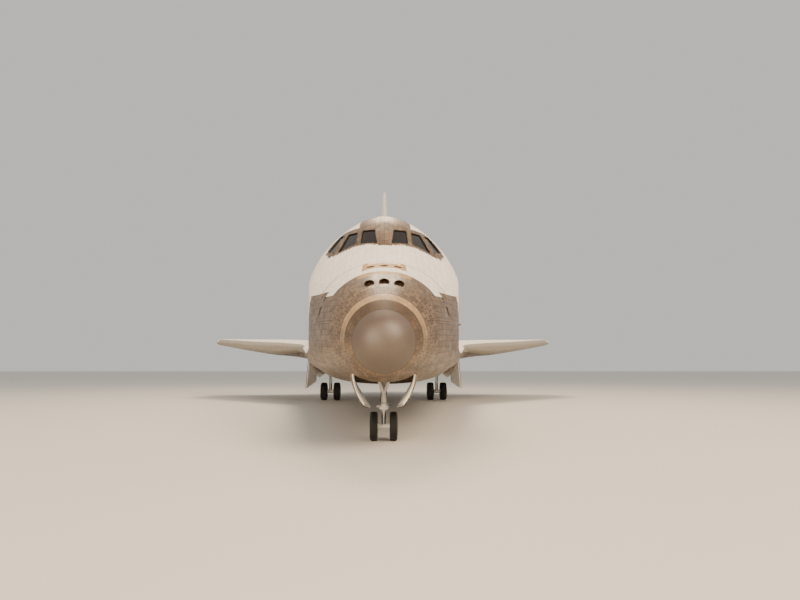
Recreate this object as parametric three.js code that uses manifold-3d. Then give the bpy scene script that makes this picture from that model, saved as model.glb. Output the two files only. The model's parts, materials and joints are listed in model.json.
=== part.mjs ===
// A space shuttle orbiter at full size, parked on its landing gear.
// Millimetres. Body frame: +X to port, +Y aft from the nose tip, +Z up from the cargo bay's centreline.
// The port side is modelled once and mirrored. The last group pitches the body and stands it at z = 0.
import * as THREE from 'three';
import { mergeVertices } from 'three/addons/utils/BufferGeometryUtils.js';
import Module from 'manifold-3d';

const wasm = await Module();
wasm.setup();

// Driving dimensions
const NOSE_DOWN = THREE.MathUtils.degToRad(3.3); // the pitch at which it stands on its gear
const FIT = 0.4; // gap between pieces that touch
const RUN = 12; // running gap round a hinged leading edge
const HALF_SPAN = 11900;
const CAP_END = 450; // aft edge of the nose cap
const CABIN_END = 8800; // aft face of the cabin's bulkhead
const BAY_END = 27200; // aft end of the cargo bay
const BASE = 32900; // aft face of the fuselage
const HULL_RADIUS = 2620; // half width of the fuselage, and radius of the bay doors
const HULL_CENTRE = -50; // height of the doors' centre of curvature
const BELLY = -3470;
const SILL = 450; // height of the bay door hinges
const BAY_RADIUS = 2286; // clear radius of the cargo bay
const WALL = 160;

const COLOURS = {
  white: [0xe9e7e0, 0.7, 0],
  blanket: [0xe4e2da, 0.85, 0],
  black_tile: [0x2b2a2b, 0.5, 0],
  carbon: [0x8b8b8a, 0.45, 0],
  glass: [0x14171a, 0.1, 0],
  liner: [0xd8d7c8, 0.8, 0],
  radiator: [0xc8ccd0, 0.25, 0.8],
  nozzle: [0x8f8a84, 0.35, 0.9],
  metal: [0xb9bcbf, 0.35, 0.9],
  strut: [0xf0efec, 0.4, 0],
  rubber: [0x1b1b1c, 0.9, 0],
};
const materials = Object.fromEntries(Object.entries(COLOURS).map(([name, [color, roughness, metalness]]) => [
  name, new THREE.MeshStandardMaterial({ name, color, roughness, metalness }),
]));

// Small tools
const point = (x, y, z) => new THREE.Vector3(x, y, z);
const mix = THREE.MathUtils.lerp;

// A closed geometry, or its vertices and triangles, as a solid that faces outwards.
function solidOf(geometry) {
  const source = geometry.index ? geometry.toNonIndexed() : geometry;
  const bare = new THREE.BufferGeometry().setAttribute('position', source.getAttribute('position'));
  const merged = mergeVertices(bare, 1e-2);
  const index = merged.index.array;
  const triangles = [];
  for (let i = 0; i < index.length; i += 3) {
    const [a, b, c] = [index[i], index[i + 1], index[i + 2]];
    if (a !== b && b !== c && c !== a) triangles.push(a, b, c);
  }
  const vertProperties = new Float32Array(merged.attributes.position.array);
  const make = (list) => new wasm.Manifold(new wasm.Mesh({
    numProp: 3, vertProperties, triVerts: new Uint32Array(list),
  }));
  const made = make(triangles);
  return made.volume() > 0 ? made : make(triangles.reverse());
}

// Joins rings of equal length into a closed skin. Each end is closed by a fan, and a pole may end it.
// The diagonals turn over at the centre plane, so the two halves mirror each other.
function loft(rings) {
  const count = rings[0].length;
  const positions = rings.flat().flatMap((p) => [p.x, p.y, p.z]);
  const index = [];
  for (let i = 0; i + 1 < rings.length; i++) {
    for (let j = 0; j < count; j++) {
      const [a, b] = [i * count + j, i * count + (j + 1) % count];
      const [c, d] = [b + count, a + count];
      const isPort = rings[i][j].x + rings[i][(j + 1) % count].x > 0;
      index.push(...(isPort ? [a, b, c, a, c, d] : [a, b, d, b, c, d]));
    }
  }
  const addFan = (first, turn) => {
    const ends = rings[first / count];
    const centre = ends.reduce((sum, p) => sum.add(p), point(0, 0, 0)).divideScalar(count);
    const hub = positions.push(centre.x, centre.y, centre.z) / 3 - 1;
    for (let j = 0; j < count; j++) {
      const [a, b] = [first + j, first + (j + 1) % count];
      index.push(hub, ...(turn ? [b, a] : [a, b]));
    }
  };
  addFan(0, true);
  addFan((rings.length - 1) * count, false);
  const geometry = new THREE.BufferGeometry();
  geometry.setAttribute('position', new THREE.Float32BufferAttribute(positions, 3));
  geometry.setIndex(index);
  return solidOf(geometry);
}

// A box between two corners.
function box(low, high) {
  const size = high.map((v, i) => v - low[i]);
  const centre = high.map((v, i) => (v + low[i]) / 2);
  return solidOf(new THREE.BoxGeometry(...size).translate(...centre));
}

// A round bar or cone from one point to another.
function bar(from, to, radius, endRadius = radius, sides = 8) {
  const along = to.clone().sub(from);
  const geometry = new THREE.CylinderGeometry(endRadius, radius, along.length(), sides);
  const turn = new THREE.Quaternion().setFromUnitVectors(point(0, 1, 0), along.clone().normalize());
  const middle = from.clone().add(to).divideScalar(2);
  geometry.applyQuaternion(turn).translate(middle.x, middle.y, middle.z);
  return solidOf(geometry);
}

// A body of revolution: profile points are [distance along the axis, radius], from start along direction.
function turned(profile, start, direction, sides, phase = 0) {
  const points = profile.map(([along, radius]) => new THREE.Vector2(radius, along));
  const turn = new THREE.Quaternion().setFromUnitVectors(point(0, 1, 0), direction.clone().normalize());
  const geometry = new THREE.LatheGeometry(points, sides, Math.PI / sides - phase).applyQuaternion(turn);
  return solidOf(geometry.translate(start.x, start.y, start.z));
}

// An outline of [x, y] points as a prism between two heights.
function prism(outline, low, high) {
  const shape = new THREE.Shape(outline.map(([x, y]) => new THREE.Vector2(x, y)));
  const geometry = new THREE.ExtrudeGeometry(shape, { depth: high - low, bevelEnabled: false });
  return solidOf(geometry.translate(0, 0, low));
}

// A flat four-cornered plate: the corners pushed along the plate's normal by two depths.
function plate(corners, near, far) {
  const [a, b, c, d] = corners;
  const normal = c.clone().sub(a).cross(d.clone().sub(b)).normalize();
  const push = (depth) => corners.map((p) => p.clone().addScaledVector(normal, depth));
  return loft([push(near), push(far)]);
}

const union = (first, ...rest) => rest.reduce((sum, s) => sum.add(s), first);
const mirrored = (s) => s.mirror([1, 0, 0]);

// A smooth curve through rows of [place, value], with no overshoot.
function through(rows) {
  const [xs, ys] = [rows.map((r) => r[0]), rows.map((r) => r[1])];
  const slopes = xs.slice(1).map((x, i) => (ys[i + 1] - ys[i]) / (x - xs[i]));
  const tangents = xs.map((_, i) => {
    const [before, after] = [slopes[Math.max(i - 1, 0)], slopes[Math.min(i, slopes.length - 1)]];
    return before * after <= 0 ? 0 : 2 * before * after / (before + after);
  });
  return (x) => {
    let i = 0;
    while (i < xs.length - 2 && x > xs[i + 1]) i++;
    const step = xs[i + 1] - xs[i];
    const t = THREE.MathUtils.clamp((x - xs[i]) / step, 0, 1);
    const [t2, t3] = [t * t, t * t * t];
    return (2 * t3 - 3 * t2 + 1) * ys[i] + (t3 - 2 * t2 + t) * step * tangents[i]
      + (3 * t2 - 2 * t3) * ys[i + 1] + (t3 - t2) * step * tangents[i + 1];
  };
}

// Fuselage sections: the outline's half is three curves, top, side and belly.
// aft, half width, top, shoulder, chine, bottom, reach at the chine, fullness of top, side and belly
const FORWARD = [
  [0, 0, -1980, -1980, -1980, -1980, 0, 0.55, 0.55, 0.55],
  [120, 430, -1550, -1980, -1980, -2395, 430, 0.55, 0.55, 0.55],
  [500, 770, -1205, -1960, -1980, -2735, 770, 0.55, 0.55, 0.56],
  [1000, 1040, -850, -1900, -1950, -2915, 1040, 0.55, 0.55, 0.58],
  [1800, 1380, -420, -1700, -1900, -3040, 1380, 0.55, 0.55, 0.62],
  [2700, 1690, -40, -1550, -1900, -3130, 1690, 0.55, 0.55, 0.66],
  [3600, 1950, 260, -1400, -1900, -3210, 1950, 0.54, 0.54, 0.72],
  [4400, 2160, 530, -1150, -1950, -3285, 2160, 0.5, 0.48, 0.73],
  [4950, 2290, 900, -800, -2000, -3325, 2290, 0.42, 0.38, 0.73],
  [5300, 2360, 1260, -550, -2000, -3350, 2360, 0.34, 0.28, 0.72],
  [5750, 2440, 1690, -300, -2020, -3380, 2440, 0.3, 0.24, 0.7],
  [6300, 2530, 2120, -150, -2080, -3410, 2530, 0.33, 0.28, 0.68],
  [6900, 2590, 2370, -50, -2200, -3430, 2600, 0.38, 0.36, 0.68],
  [7600, 2615, 2500, 0, -2360, -3450, 2720, 0.43, 0.43, 0.66],
  [8800, 2620, 2570, -50, -2520, -3470, 2940, 0.55, 0.55, 0.62],
];
const AFT = [
  [27200, 2620, 2570, -50, -2600, -3440, 2620, 0.55, 0.55, 0.9],
  [29000, 2620, 2570, -50, -2650, -3240, 2620, 0.55, 0.55, 0.9],
  [29400, 2625, 2570, -50, -2680, -3200, 3180, 0.55, 0.55, 0.9],
  [31000, 2680, 2560, -50, -2600, -3020, 3200, 0.55, 0.55, 0.9],
  [32900, 2750, 2500, -50, -2480, -2830, 3200, 0.55, 0.55, 0.9],
];
const COLUMNS = ['width', 'top', 'shoulder', 'chine', 'bottom', 'reach', 'topFull', 'sideFull', 'bellyFull'];

// The columns between rows follow the square root of the distance aft, which rounds the nose tip.
function stationsOf(table) {
  const curves = COLUMNS.map((name, i) => [name, through(table.map((r) => [Math.sqrt(r[0]), r[i + 1]]))]);
  return (aft) => Object.fromEntries(curves.map(([name, curve]) => [name, curve(Math.sqrt(aft))]));
}
const forwardAt = stationsOf(FORWARD);
const aftAt = stationsOf(AFT);

// The port half of a section, from top to bottom, drawn inside the skin by inset.
function sectionCurves(s, inset) {
  const [width, top, bottom] = [s.width - inset, s.top - inset, s.bottom + inset];
  const reach = inset > 0 ? width : s.reach - inset;
  const at = (x, z) => new THREE.Vector2(x, z);
  return [
    new THREE.CubicBezierCurve(at(0, top), at(width * s.topFull, top),
      at(width, mix(s.shoulder, top, s.sideFull)), at(width, s.shoulder)),
    new THREE.CubicBezierCurve(at(width, s.shoulder), at(width, mix(s.shoulder, s.chine, 0.85)),
      at(mix(width, reach, 0.4), s.chine), at(reach, s.chine)),
    new THREE.CubicBezierCurve(at(reach, s.chine), at(reach, mix(s.chine, bottom, s.bellyFull)),
      at(reach * s.bellyFull, bottom), at(0, bottom)),
  ];
}
const SECTION_STEPS = [6, 3, 5];

function ring(stationAt, aft, inset = 0) {
  const curves = sectionCurves(stationAt(aft), inset);
  const half = curves.flatMap((c, i) => c.getPoints(SECTION_STEPS[i]).slice(i ? 1 : 0));
  const other = half.slice(1, -1).reverse().map((p) => new THREE.Vector2(-p.x, p.y));
  return [...half, ...other].map((p) => point(p.x, aft, p.y));
}

function hull(stationAt, places, inset = 0) {
  return loft(places.map((aft) => ring(stationAt, aft, inset)));
}

// The point of the upper skin at a distance x from the centre plane.
function roofPoint(x, aft) {
  const curve = sectionCurves(forwardAt(aft), 0)[0];
  let [low, high] = [0, 1];
  for (let i = 0; i < 30; i++) {
    const middle = (low + high) / 2;
    if (curve.getPoint(middle).x < x) low = middle; else high = middle;
  }
  return point(x, aft, curve.getPoint(low).y);
}

// Groups of the scene. Port pieces are copied and mirrored to starboard at the end.
const centre = new THREE.Group();
const port = new THREE.Group();

function addMesh(name, solid, material, parent = centre) {
  const made = solid.getMesh();
  const geometry = new THREE.BufferGeometry();
  const positions = new Float32Array(made.numVert * 3);
  for (let i = 0; i < made.numVert; i++) {
    positions.set(made.vertProperties.subarray(i * made.numProp, i * made.numProp + 3), i * 3);
  }
  geometry.setAttribute('position', new THREE.BufferAttribute(positions, 3));
  geometry.setIndex(new THREE.BufferAttribute(made.triVerts, 1));
  parent.updateWorldMatrix(true, false);
  geometry.applyMatrix4(parent.matrixWorld.clone().invert());
  geometry.computeVertexNormals();
  const mesh = new THREE.Mesh(geometry, material);
  mesh.name = name;
  parent.add(mesh);
  return mesh;
}

// A group whose local X axis is a hinge or an axle.
function pivot(name, origin, axis, parent = centre) {
  const group = new THREE.Group();
  group.name = name;
  group.position.copy(parent.worldToLocal(origin.clone()));
  const turn = new THREE.Quaternion().setFromUnitVectors(point(1, 0, 0), axis.clone().normalize());
  group.quaternion.copy(parent.getWorldQuaternion(new THREE.Quaternion()).invert().multiply(turn));
  parent.add(group);
  group.updateWorldMatrix(true, false);
  return group;
}

// Places spread evenly along a line, each the middle of one hinge.
function spread(from, to, count) {
  return Array.from({ length: count }, (_, i) => from.clone().lerp(to, (i + 0.5) / count));
}

// A disc across a line, as thick as length.
function disc(middle, axis, radius, length, sides = 8) {
  const half = axis.clone().setLength(length / 2);
  return bar(middle.clone().sub(half), middle.clone().add(half), radius, radius, sides);
}

// Forward fuselage: nose cap, thruster module, hollow cabin with windows and side hatch, nose wheel well.
const NOSE_PLACES = [0, 25, 100, 230, CAP_END];
const FORWARD_PLACES = [CAP_END, 700, 1050, 1500, 2100, 2800, 3600, 4400, 4800, 5100, 5450, 5800, 6200,
  6800, 7600, CABIN_END];
addMesh('nose_cap', hull(forwardAt, NOSE_PLACES), materials.carbon);
const forwardSkin = hull(forwardAt, FORWARD_PLACES).translate([0, FIT, 0]);

const MODULE = { front: 1350, back: 3600, floor: -1450 };
const THRUSTERS = [ // x, aft, height at the mouth, direction x, aft, up, mouth radius
  [0, 1820, -430, 0, -1, 0.12, 125],
  [400, 1820, -475, 0, -1, 0.12, 125],
  [-400, 1820, -475, 0, -1, 0.12, 125],
  [0, 3250, 160, 0, -0.1, 1, 125],
  [390, 3250, 130, 0, -0.1, 1, 125],
  [-390, 3250, 130, 0, -0.1, 1, 125],
  [1820, 3150, -820, 1, 0, 0, 120],
  [1880, 3200, -1180, 0.8, 0, -0.6, 120],
];
function thrusterBore([x, aft, z, dx, dy, dz, radius]) {
  const [middle, way] = [point(x, aft, z), point(dx, dy, dz).normalize()];
  return bar(middle.clone().addScaledVector(way, -260), middle.clone().addScaledVector(way, 240),
    radius * 0.45, radius * 1.5, 8);
}
const moduleBlock = (grow) => box([-2100, MODULE.front - grow, MODULE.floor - grow],
  [2100, MODULE.back + grow, 700]);
const bores = THRUSTERS.flatMap((row) => (row[0] > 1000
  ? [thrusterBore(row), mirrored(thrusterBore(row))] : [thrusterBore(row)]));
const moduleSkin = forwardSkin.intersect(moduleBlock(0));
addMesh('thruster_module', bores.reduce((s, bore) => s.subtract(bore), moduleSkin), materials.white);

const PANES = { // corners by distance from the centre plane and distance aft
  front: [[230, 5190], [770, 5440], [730, 6050], [310, 5810]],
  middle: [[950, 5560], [1530, 5800], [1220, 6430], [900, 6120]],
  side: [[1680, 6000], [1930, 6520], [1550, 6960], [1370, 6600]],
  overhead: [[250, 7150], [760, 7150], [760, 7700], [250, 7700]],
};
const cornersOf = (pane) => pane.map(([x, aft]) => roofPoint(x, aft));
function shrunk(corners, gap) {
  const middle = corners.reduce((sum, p) => sum.add(p), point(0, 0, 0)).divideScalar(corners.length);
  return corners.map((p) => p.clone().addScaledVector(middle.clone().sub(p).normalize(), gap * 1.4));
}
const AFT_PANE = { inner: 180, outer: 560, low: 1300, high: 1640 };
const aftPaneCorners = [[AFT_PANE.inner, AFT_PANE.low], [AFT_PANE.outer, AFT_PANE.low],
  [AFT_PANE.outer, AFT_PANE.high], [AFT_PANE.inner, AFT_PANE.high]]
  .map(([x, z]) => point(x, CABIN_END - 40, z));
const paneSets = [...Object.values(PANES).map(cornersOf), aftPaneCorners];

const CABIN = { front: 4950, back: CABIN_END - 240 };
const CABIN_PLACES = [CABIN.front, 5450, 6200, 7400, CABIN.back];
const cabinSpace = hull(forwardAt, CABIN_PLACES, WALL);
const WELL = { front: 1450, back: 4350, roof: -2150, frontHalf: 830, backHalf: 930 };
const wellOutline = [[-WELL.frontHalf, WELL.front], [WELL.frontHalf, WELL.front],
  [WELL.backHalf, WELL.back], [-WELL.backHalf, WELL.back]];

const HATCH = { aft: 6500, height: -950, radius: 508, hingeX: 2612, knuckle: 16, half: 60 };
const hatchHinge = point(HATCH.hingeX, HATCH.aft, HATCH.height - HATCH.radius - 12);
// A block between two distances from the centre plane and two heights about the hatch's hinge.
const hatchBlock = (aft, half, inner, outer, low, high) => box([inner, aft - half, hatchHinge.z + low],
  [outer, aft + half, hatchHinge.z + high]);
// The hatch narrows inwards, so that it swings out of its hole.
const hatchBar = (radius) => bar(point(1800, HATCH.aft, HATCH.height), point(2900, HATCH.aft, HATCH.height),
  radius - 70, radius + 26, 20);
let forwardBody = forwardSkin.subtract(moduleBlock(FIT)).subtract(cabinSpace);
for (const corners of paneSets) {
  const cutter = plate(corners, -420, 420);
  forwardBody = forwardBody.subtract(cutter).subtract(mirrored(cutter));
}
const AIRLOCK = { height: -900, front: CABIN_END - 50, back: CABIN_END + 70, base: 520, face: 480 };
const airlock = bar(point(0, AIRLOCK.front, AIRLOCK.height), point(0, AIRLOCK.back, AIRLOCK.height),
  AIRLOCK.base, AIRLOCK.face, 16);
forwardBody = forwardBody.subtract(prism(wellOutline, -4000, WELL.roof))
  .subtract(hatchBar(HATCH.radius + 6))
  .add(airlock)
  .subtract(hatchBlock(HATCH.aft, HATCH.half + 6, 2470, 2800, -30, 60));
for (const side of [-1, 1]) {
  const middle = hatchHinge.clone().setY(HATCH.aft + side * (HATCH.half + 50 + FIT));
  forwardBody = forwardBody.add(disc(middle, point(0, 1, 0), HATCH.knuckle, 100))
    .add(hatchBlock(middle.y, 50, 2500, HATCH.hingeX, -14, 0));
}
addMesh('forward_fuselage', forwardBody, materials.white);

const PANE_DEPTHS = [-62, -30];
for (const [name, pane] of Object.entries(PANES)) {
  const glass = plate(shrunk(cornersOf(pane), FIT), ...PANE_DEPTHS);
  addMesh(`window_${name}_port`, glass, materials.glass, port);
}
addMesh('window_aft_port', plate(shrunk(aftPaneCorners, FIT), ...PANE_DEPTHS), materials.glass, port);

const DECK = { floor: 120, thick: 80 };
const cabinFill = hull(forwardAt, CABIN_PLACES, WALL + FIT);
const seatAt = (x) => union(box([x - 230, 6350, 199], [x + 230, 6830, 620]),
  box([x - 230, 6760, 199], [x + 230, 6900, 1350]), box([x - 130, 6740, 1300], [x + 130, 6880, 1560]));
const flightDeck = union(box([-2600, 5000, DECK.floor], [2600, 8540, DECK.floor + DECK.thick]),
  box([-1700, 5350, 150], [1700, 5650, 820]), box([-160, 5600, 150], [160, 6500, 560]),
  box([-1250, 8150, 150], [1250, 8540, 1150]), seatAt(520), seatAt(-520));
addMesh('flight_deck', flightDeck.intersect(cabinFill), materials.liner);

const hatchAxis = point(0, 1, 0);
const hatchPivot = pivot('pivot_crew_hatch', hatchHinge, hatchAxis);
const hatchDoor = hull(forwardAt, FORWARD_PLACES.slice(11, 15))
  .subtract(hull(forwardAt, [5800, 6500, 7600], WALL))
  .intersect(hatchBar(HATCH.radius)).intersect(box([1800, 5000, -2000], [3000, 8000, 0]))
  .add(disc(hatchHinge, hatchAxis, HATCH.knuckle, 2 * HATCH.half))
  .add(hatchBlock(HATCH.aft, HATCH.half, 2500, HATCH.hingeX, 0, 50));
addMesh('crew_hatch', hatchDoor, materials.white, hatchPivot);

// Cargo bay: a trough between frames, two curved doors with radiators inside them.
const FRAMES = 13;
const bayLength = BAY_END - CABIN_END;
function arcPoints(radius, fromAngle, toAngle, steps) {
  return Array.from({ length: steps + 1 }, (_, i) => {
    const angle = mix(fromAngle, toAngle, i / steps);
    return [radius * Math.sin(angle), HULL_CENTRE + radius * Math.cos(angle)];
  });
}
// An outline in x and z, as a beam between two distances aft.
function beam(outline, from, to) {
  const shape = new THREE.Shape(outline.map(([x, z]) => new THREE.Vector2(x, z)));
  const geometry = new THREE.ExtrudeGeometry(shape, { depth: to - from, bevelEnabled: false });
  geometry.rotateX(Math.PI / 2).translate(0, to, 0);
  return solidOf(geometry);
}
const sillAngle = Math.acos((SILL - HULL_CENTRE) / HULL_RADIUS);
const sideArc = arcPoints(HULL_RADIUS, Math.PI / 2, sillAngle, 3);
const troughOutline = [
  [-HULL_RADIUS, BELLY], [HULL_RADIUS, BELLY], ...sideArc,
  [BAY_RADIUS + 20, SILL], [-BAY_RADIUS - 20, SILL], ...sideArc.map(([x, z]) => [-x, z]).reverse(),
];
function bayCut(radius, from, to) {
  const round = Array.from({ length: 9 }, (_, i) => [-radius * Math.cos(Math.PI * i / 8),
    -radius * Math.sin(Math.PI * i / 8)]);
  return beam([...round, [radius, SILL + 100], [-radius, SILL + 100]], from, to);
}
// The belly's corners are round behind the cabin and square where the wing's underside is level with them.
const CORNER = { square: 11800, tall: 1000 };
const cornerRing = (aft, height, full) => {
  const low = Math.min(height, BELLY);
  const curve = new THREE.CubicBezierCurve(new THREE.Vector2(HULL_RADIUS, height),
    new THREE.Vector2(HULL_RADIUS, mix(height, low, full)), new THREE.Vector2(HULL_RADIUS * full, low),
    new THREE.Vector2(0, low));
  const half = [new THREE.Vector2(HULL_RADIUS, CORNER.tall), ...curve.getPoints(6)];
  const other = half.slice(0, -1).reverse().map((p) => new THREE.Vector2(-p.x, p.y));
  return [...half, ...other].map((p) => point(p.x, aft, p.y));
};
const bellyCorners = loft([cornerRing(CABIN_END, -2760, 0.7), cornerRing(CABIN_END + 1300, -3060, 0.86),
  cornerRing(CORNER.square, BELLY - 10, 0.99), cornerRing(BAY_END, BELLY - 10, 0.99)]);
let trough = beam(troughOutline, CABIN_END + 2 * FIT, BAY_END).intersect(bellyCorners)
  .subtract(bayCut(BAY_RADIUS, CABIN_END - 50, BAY_END + 50));
const bayStep = bayLength / FRAMES;
const POCKET = { depth: 180, rim: 90 };
for (let i = 0; i < FRAMES; i++) {
  const start = CABIN_END + i * bayStep;
  const pocket = bayCut(BAY_RADIUS + POCKET.depth, start + POCKET.rim, start + bayStep - POCKET.rim)
    .intersect(box([-3000, 0, -4000], [3000, 40000, SILL - 220]));
  trough = trough.subtract(pocket);
}

const DOOR = { thick: 90, offset: 12, knuckle: 24, gap: 6, hinges: 3, hingeLength: 300 };
const doorHinge = point(HULL_RADIUS * Math.sin(sillAngle) + DOOR.offset, 0, SILL);
const doorFrom = point(doorHinge.x, CABIN_END + 200, SILL);
const doorTo = point(doorHinge.x, BAY_END - 200, SILL);
const aftward = point(0, 1, 0);
const doorBosses = spread(doorFrom, doorTo, DOOR.hinges);
const step = doorTo.clone().sub(doorFrom).length() / DOOR.hinges;
// Each hinge is a fixed knuckle with a moving one aft of it, end to end on the hinge line.
const knuckleShift = DOOR.hingeLength + FIT;
for (const middle of doorBosses) {
  const other = middle.clone().addScaledVector(aftward, knuckleShift);
  const clear = disc(other, aftward, DOOR.knuckle + 6, DOOR.hingeLength + 2 * FIT);
  for (const side of [(s) => s, mirrored]) {
    trough = trough.subtract(side(clear)).add(side(disc(middle, aftward, DOOR.knuckle, DOOR.hingeLength)));
  }
}
addMesh('mid_fuselage', trough, materials.liner);

const doorEdge = Math.acos((SILL + DOOR.gap - HULL_CENTRE) / HULL_RADIUS);
const crownAngle = 4 / HULL_RADIUS;
const DOOR_STEPS = 9;
function arcSlab(outer, inner, from, to, start, end, steps = DOOR_STEPS) {
  return beam([...arcPoints(outer, from, to, steps), ...arcPoints(inner, to, from, steps)], start, end);
}
const doorEnds = [CABIN_END + DOOR.gap, BAY_END - DOOR.gap];
let bayDoor = arcSlab(HULL_RADIUS, HULL_RADIUS - DOOR.thick, doorEdge, crownAngle, ...doorEnds)
  .intersect(box([0, 0, SILL + DOOR.gap], [3000, 40000, 3000]));
for (const middle of doorBosses) {
  const other = middle.clone().addScaledVector(aftward, knuckleShift);
  bayDoor = bayDoor.subtract(disc(middle, aftward, DOOR.knuckle + 6, DOOR.hingeLength + 2 * FIT))
    .add(disc(other, aftward, DOOR.knuckle, DOOR.hingeLength));
}
const bayPivot = pivot('pivot_bay_door_port', doorFrom.clone(), aftward, port);
addMesh('bay_door_port', bayDoor, materials.blanket, bayPivot);
const RADIATOR = { thick: 50, margin: 250 }; // one step in from each edge of the door
const radiatorArc = [1, DOOR_STEPS - 1].map((i) => mix(doorEdge, crownAngle, i / DOOR_STEPS));
addMesh('radiator_port', arcSlab(HULL_RADIUS - DOOR.thick - FIT, HULL_RADIUS - DOOR.thick - RADIATOR.thick,
  ...radiatorArc, CABIN_END + RADIATOR.margin, BAY_END - RADIATOR.margin, DOOR_STEPS - 2),
materials.radiator, bayPivot);

// Aft fuselage: a shell with the thrust structure, three engine openings and a cove for the body flap.
const AFT_PLACES = [BAY_END + FIT, 28200, 29000, 29400, 30400, 31600, BASE];
const ENGINES = [ // name, gimbal x, aft, height, cant up and cant to port in degrees, shield radius
  ['upper', 0, 30710, 1092, 16, 0, 2150],
  ['port', 1346, 31297, -1457, 10, 3.5, 1700],
  ['starboard', -1346, 31297, -1457, 10, -3.5, 1700],
];
const ENGINE_SWING = 10.5; // degrees up and down
const SHIELD = { inner: 18.5, outer: 34, thick: 40 }; // degrees from the engine's axis
const DOME = { opening: 30, outer: 47, clear: 20, thick: 96, sides: 14 };
const FLAP = { aft: 32960, height: -2625, radius: 225, half: 3190, chord: 2060, tip: 60 };
const bodyCavity = hull(aftAt, [BAY_END + 260, 29000, 29400, 30400, 31600, BASE - WALL], WALL);
let aftBody = hull(aftAt, AFT_PLACES).subtract(bodyCavity);
const aftGrown = hull(aftAt, [BAY_END - 50, ...AFT_PLACES.slice(1, -1), BASE + FIT], -FIT);

function engineAxis(cant, out = 0) {
  const [up, side] = [cant, out].map(THREE.MathUtils.degToRad);
  return point(Math.sin(side), Math.cos(up) * Math.cos(side), Math.sin(up) * Math.cos(side));
}
// The part of a ball round a gimbal that lies within the dome's cone, with flats no nearer than the radius.
function ballSector(gimbal, axis, radius, grow = 0) {
  const start = gimbal.clone().addScaledVector(axis, -2 * grow);
  const around = Math.cos(Math.PI / DOME.sides);
  const alongside = Math.cos(THREE.MathUtils.degToRad(4.5));
  const arc = [DOME.outer, 38, 29, 0].map((degrees) => {
    const angle = THREE.MathUtils.degToRad(degrees);
    return [radius * Math.cos(angle) / alongside + 2 * grow, degrees ? radius * Math.sin(angle) / around : 0];
  });
  return turned([[0, 0], ...arc], start, axis, DOME.sides);
}
function coneFrom(tip, axis, degrees, length) {
  const wide = length * Math.tan(THREE.MathUtils.degToRad(degrees));
  return turned([[0, 0], [length, wide], [length, 0]], tip, axis, DOME.sides);
}
const HEAD = { length: 300, radius: 100, ear: 120, tall: 130 };
const crossways = point(1, 0, 0);
const domes = ENGINES.map(([, x, aft, height, cant, out, radius]) => {
  const [gimbal, axis] = [point(x, aft, height), engineAxis(cant, out)];
  const inner = ballSector(gimbal, axis, radius + DOME.clear, 2);
  const outer = (grow) => ballSector(gimbal, axis, radius + DOME.clear + DOME.thick + grow, grow);
  return { inner, outer, opening: coneFrom(gimbal, axis, DOME.opening, 4200) };
});
for (const { inner } of domes) aftBody = aftBody.subtract(inner);
for (const { inner, outer } of domes) aftBody = aftBody.add(outer(0).subtract(inner));
for (const { inner, opening } of domes) aftBody = aftBody.subtract(inner).subtract(opening);
for (const [, x, aft, height] of ENGINES) {
  const ears = [-1, 1].map((side) => {
    const inner = x + side * (HEAD.length / 2 + FIT);
    const outer = inner + side * HEAD.ear;
    return box([Math.min(inner, outer), BAY_END + 100, height - HEAD.tall],
      [Math.max(inner, outer), aft + 110, height + HEAD.tall]);
  });
  aftBody = union(aftBody, ...ears);
}
// The room that the upper engine's bell swings through, kept clear of the pods and the fin.
const upperGimbal = point(...ENGINES[0].slice(1, 4));
const upperRoom = union(...[-ENGINE_SWING, 0, ENGINE_SWING].map((degrees) => turned(
  [[1400, 0], [1400, 600], [2400, 830], [3300, 1060], [4400, 1270], [4400, 0]],
  upperGimbal, engineAxis(ENGINES[0][4] + degrees), 16)));
const flapLine = [point(-FLAP.half, FLAP.aft, FLAP.height), point(FLAP.half, FLAP.aft, FLAP.height)];
const coveRadius = FLAP.radius + RUN;
const cove = bar(flapLine[0].clone().setX(-3400), flapLine[1].clone().setX(3400), coveRadius, coveRadius, 16);
const flapBosses = spread(...flapLine, 3);
const BOSS = { length: 120, shrink: 20 };
// A fixed hinge disc with a web that carries it, in a slot of the moving surface's round leading edge.
function fixedBoss(middle, axis, radius, web) {
  const along = axis.clone().setLength(BOSS.length / 2);
  const back = middle.clone().add(web);
  const up = axis.clone().cross(web).setLength(radius * 0.6);
  const corners = [middle, back].flatMap((p) => [1, -1].map((s) => p.clone().addScaledVector(up, s)));
  const outline = [corners[0], corners[2], corners[3], corners[1]];
  const arm = loft([-1, 1].map((s) => outline.map((p) => p.clone().addScaledVector(along, s))));
  return disc(middle, axis, radius - BOSS.shrink, BOSS.length).add(arm);
}
aftBody = aftBody.subtract(cove);
for (const middle of flapBosses) {
  aftBody = aftBody.add(fixedBoss(middle, crossways, FLAP.radius, point(0, -FLAP.radius - 120, 0)));
}

const flapPivot = pivot('pivot_body_flap', flapLine[0], crossways);
const flapAft = FLAP.aft + FLAP.chord;
const flapWedge = loft([-FLAP.half, FLAP.half].map((x) => [
  point(x, FLAP.aft, FLAP.height + FLAP.radius), point(x, flapAft, FLAP.height - 40 + FLAP.tip),
  point(x, flapAft, FLAP.height - 40), point(x, FLAP.aft, FLAP.height - FLAP.radius)]));
let flap = flapWedge.add(bar(...flapLine, FLAP.radius, FLAP.radius, 16));
for (const middle of flapBosses) {
  flap = flap.subtract(disc(middle, crossways, FLAP.radius + 10, BOSS.length + 2 * FIT, 16));
}
addMesh('body_flap', flap, materials.black_tile, flapPivot);

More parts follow.
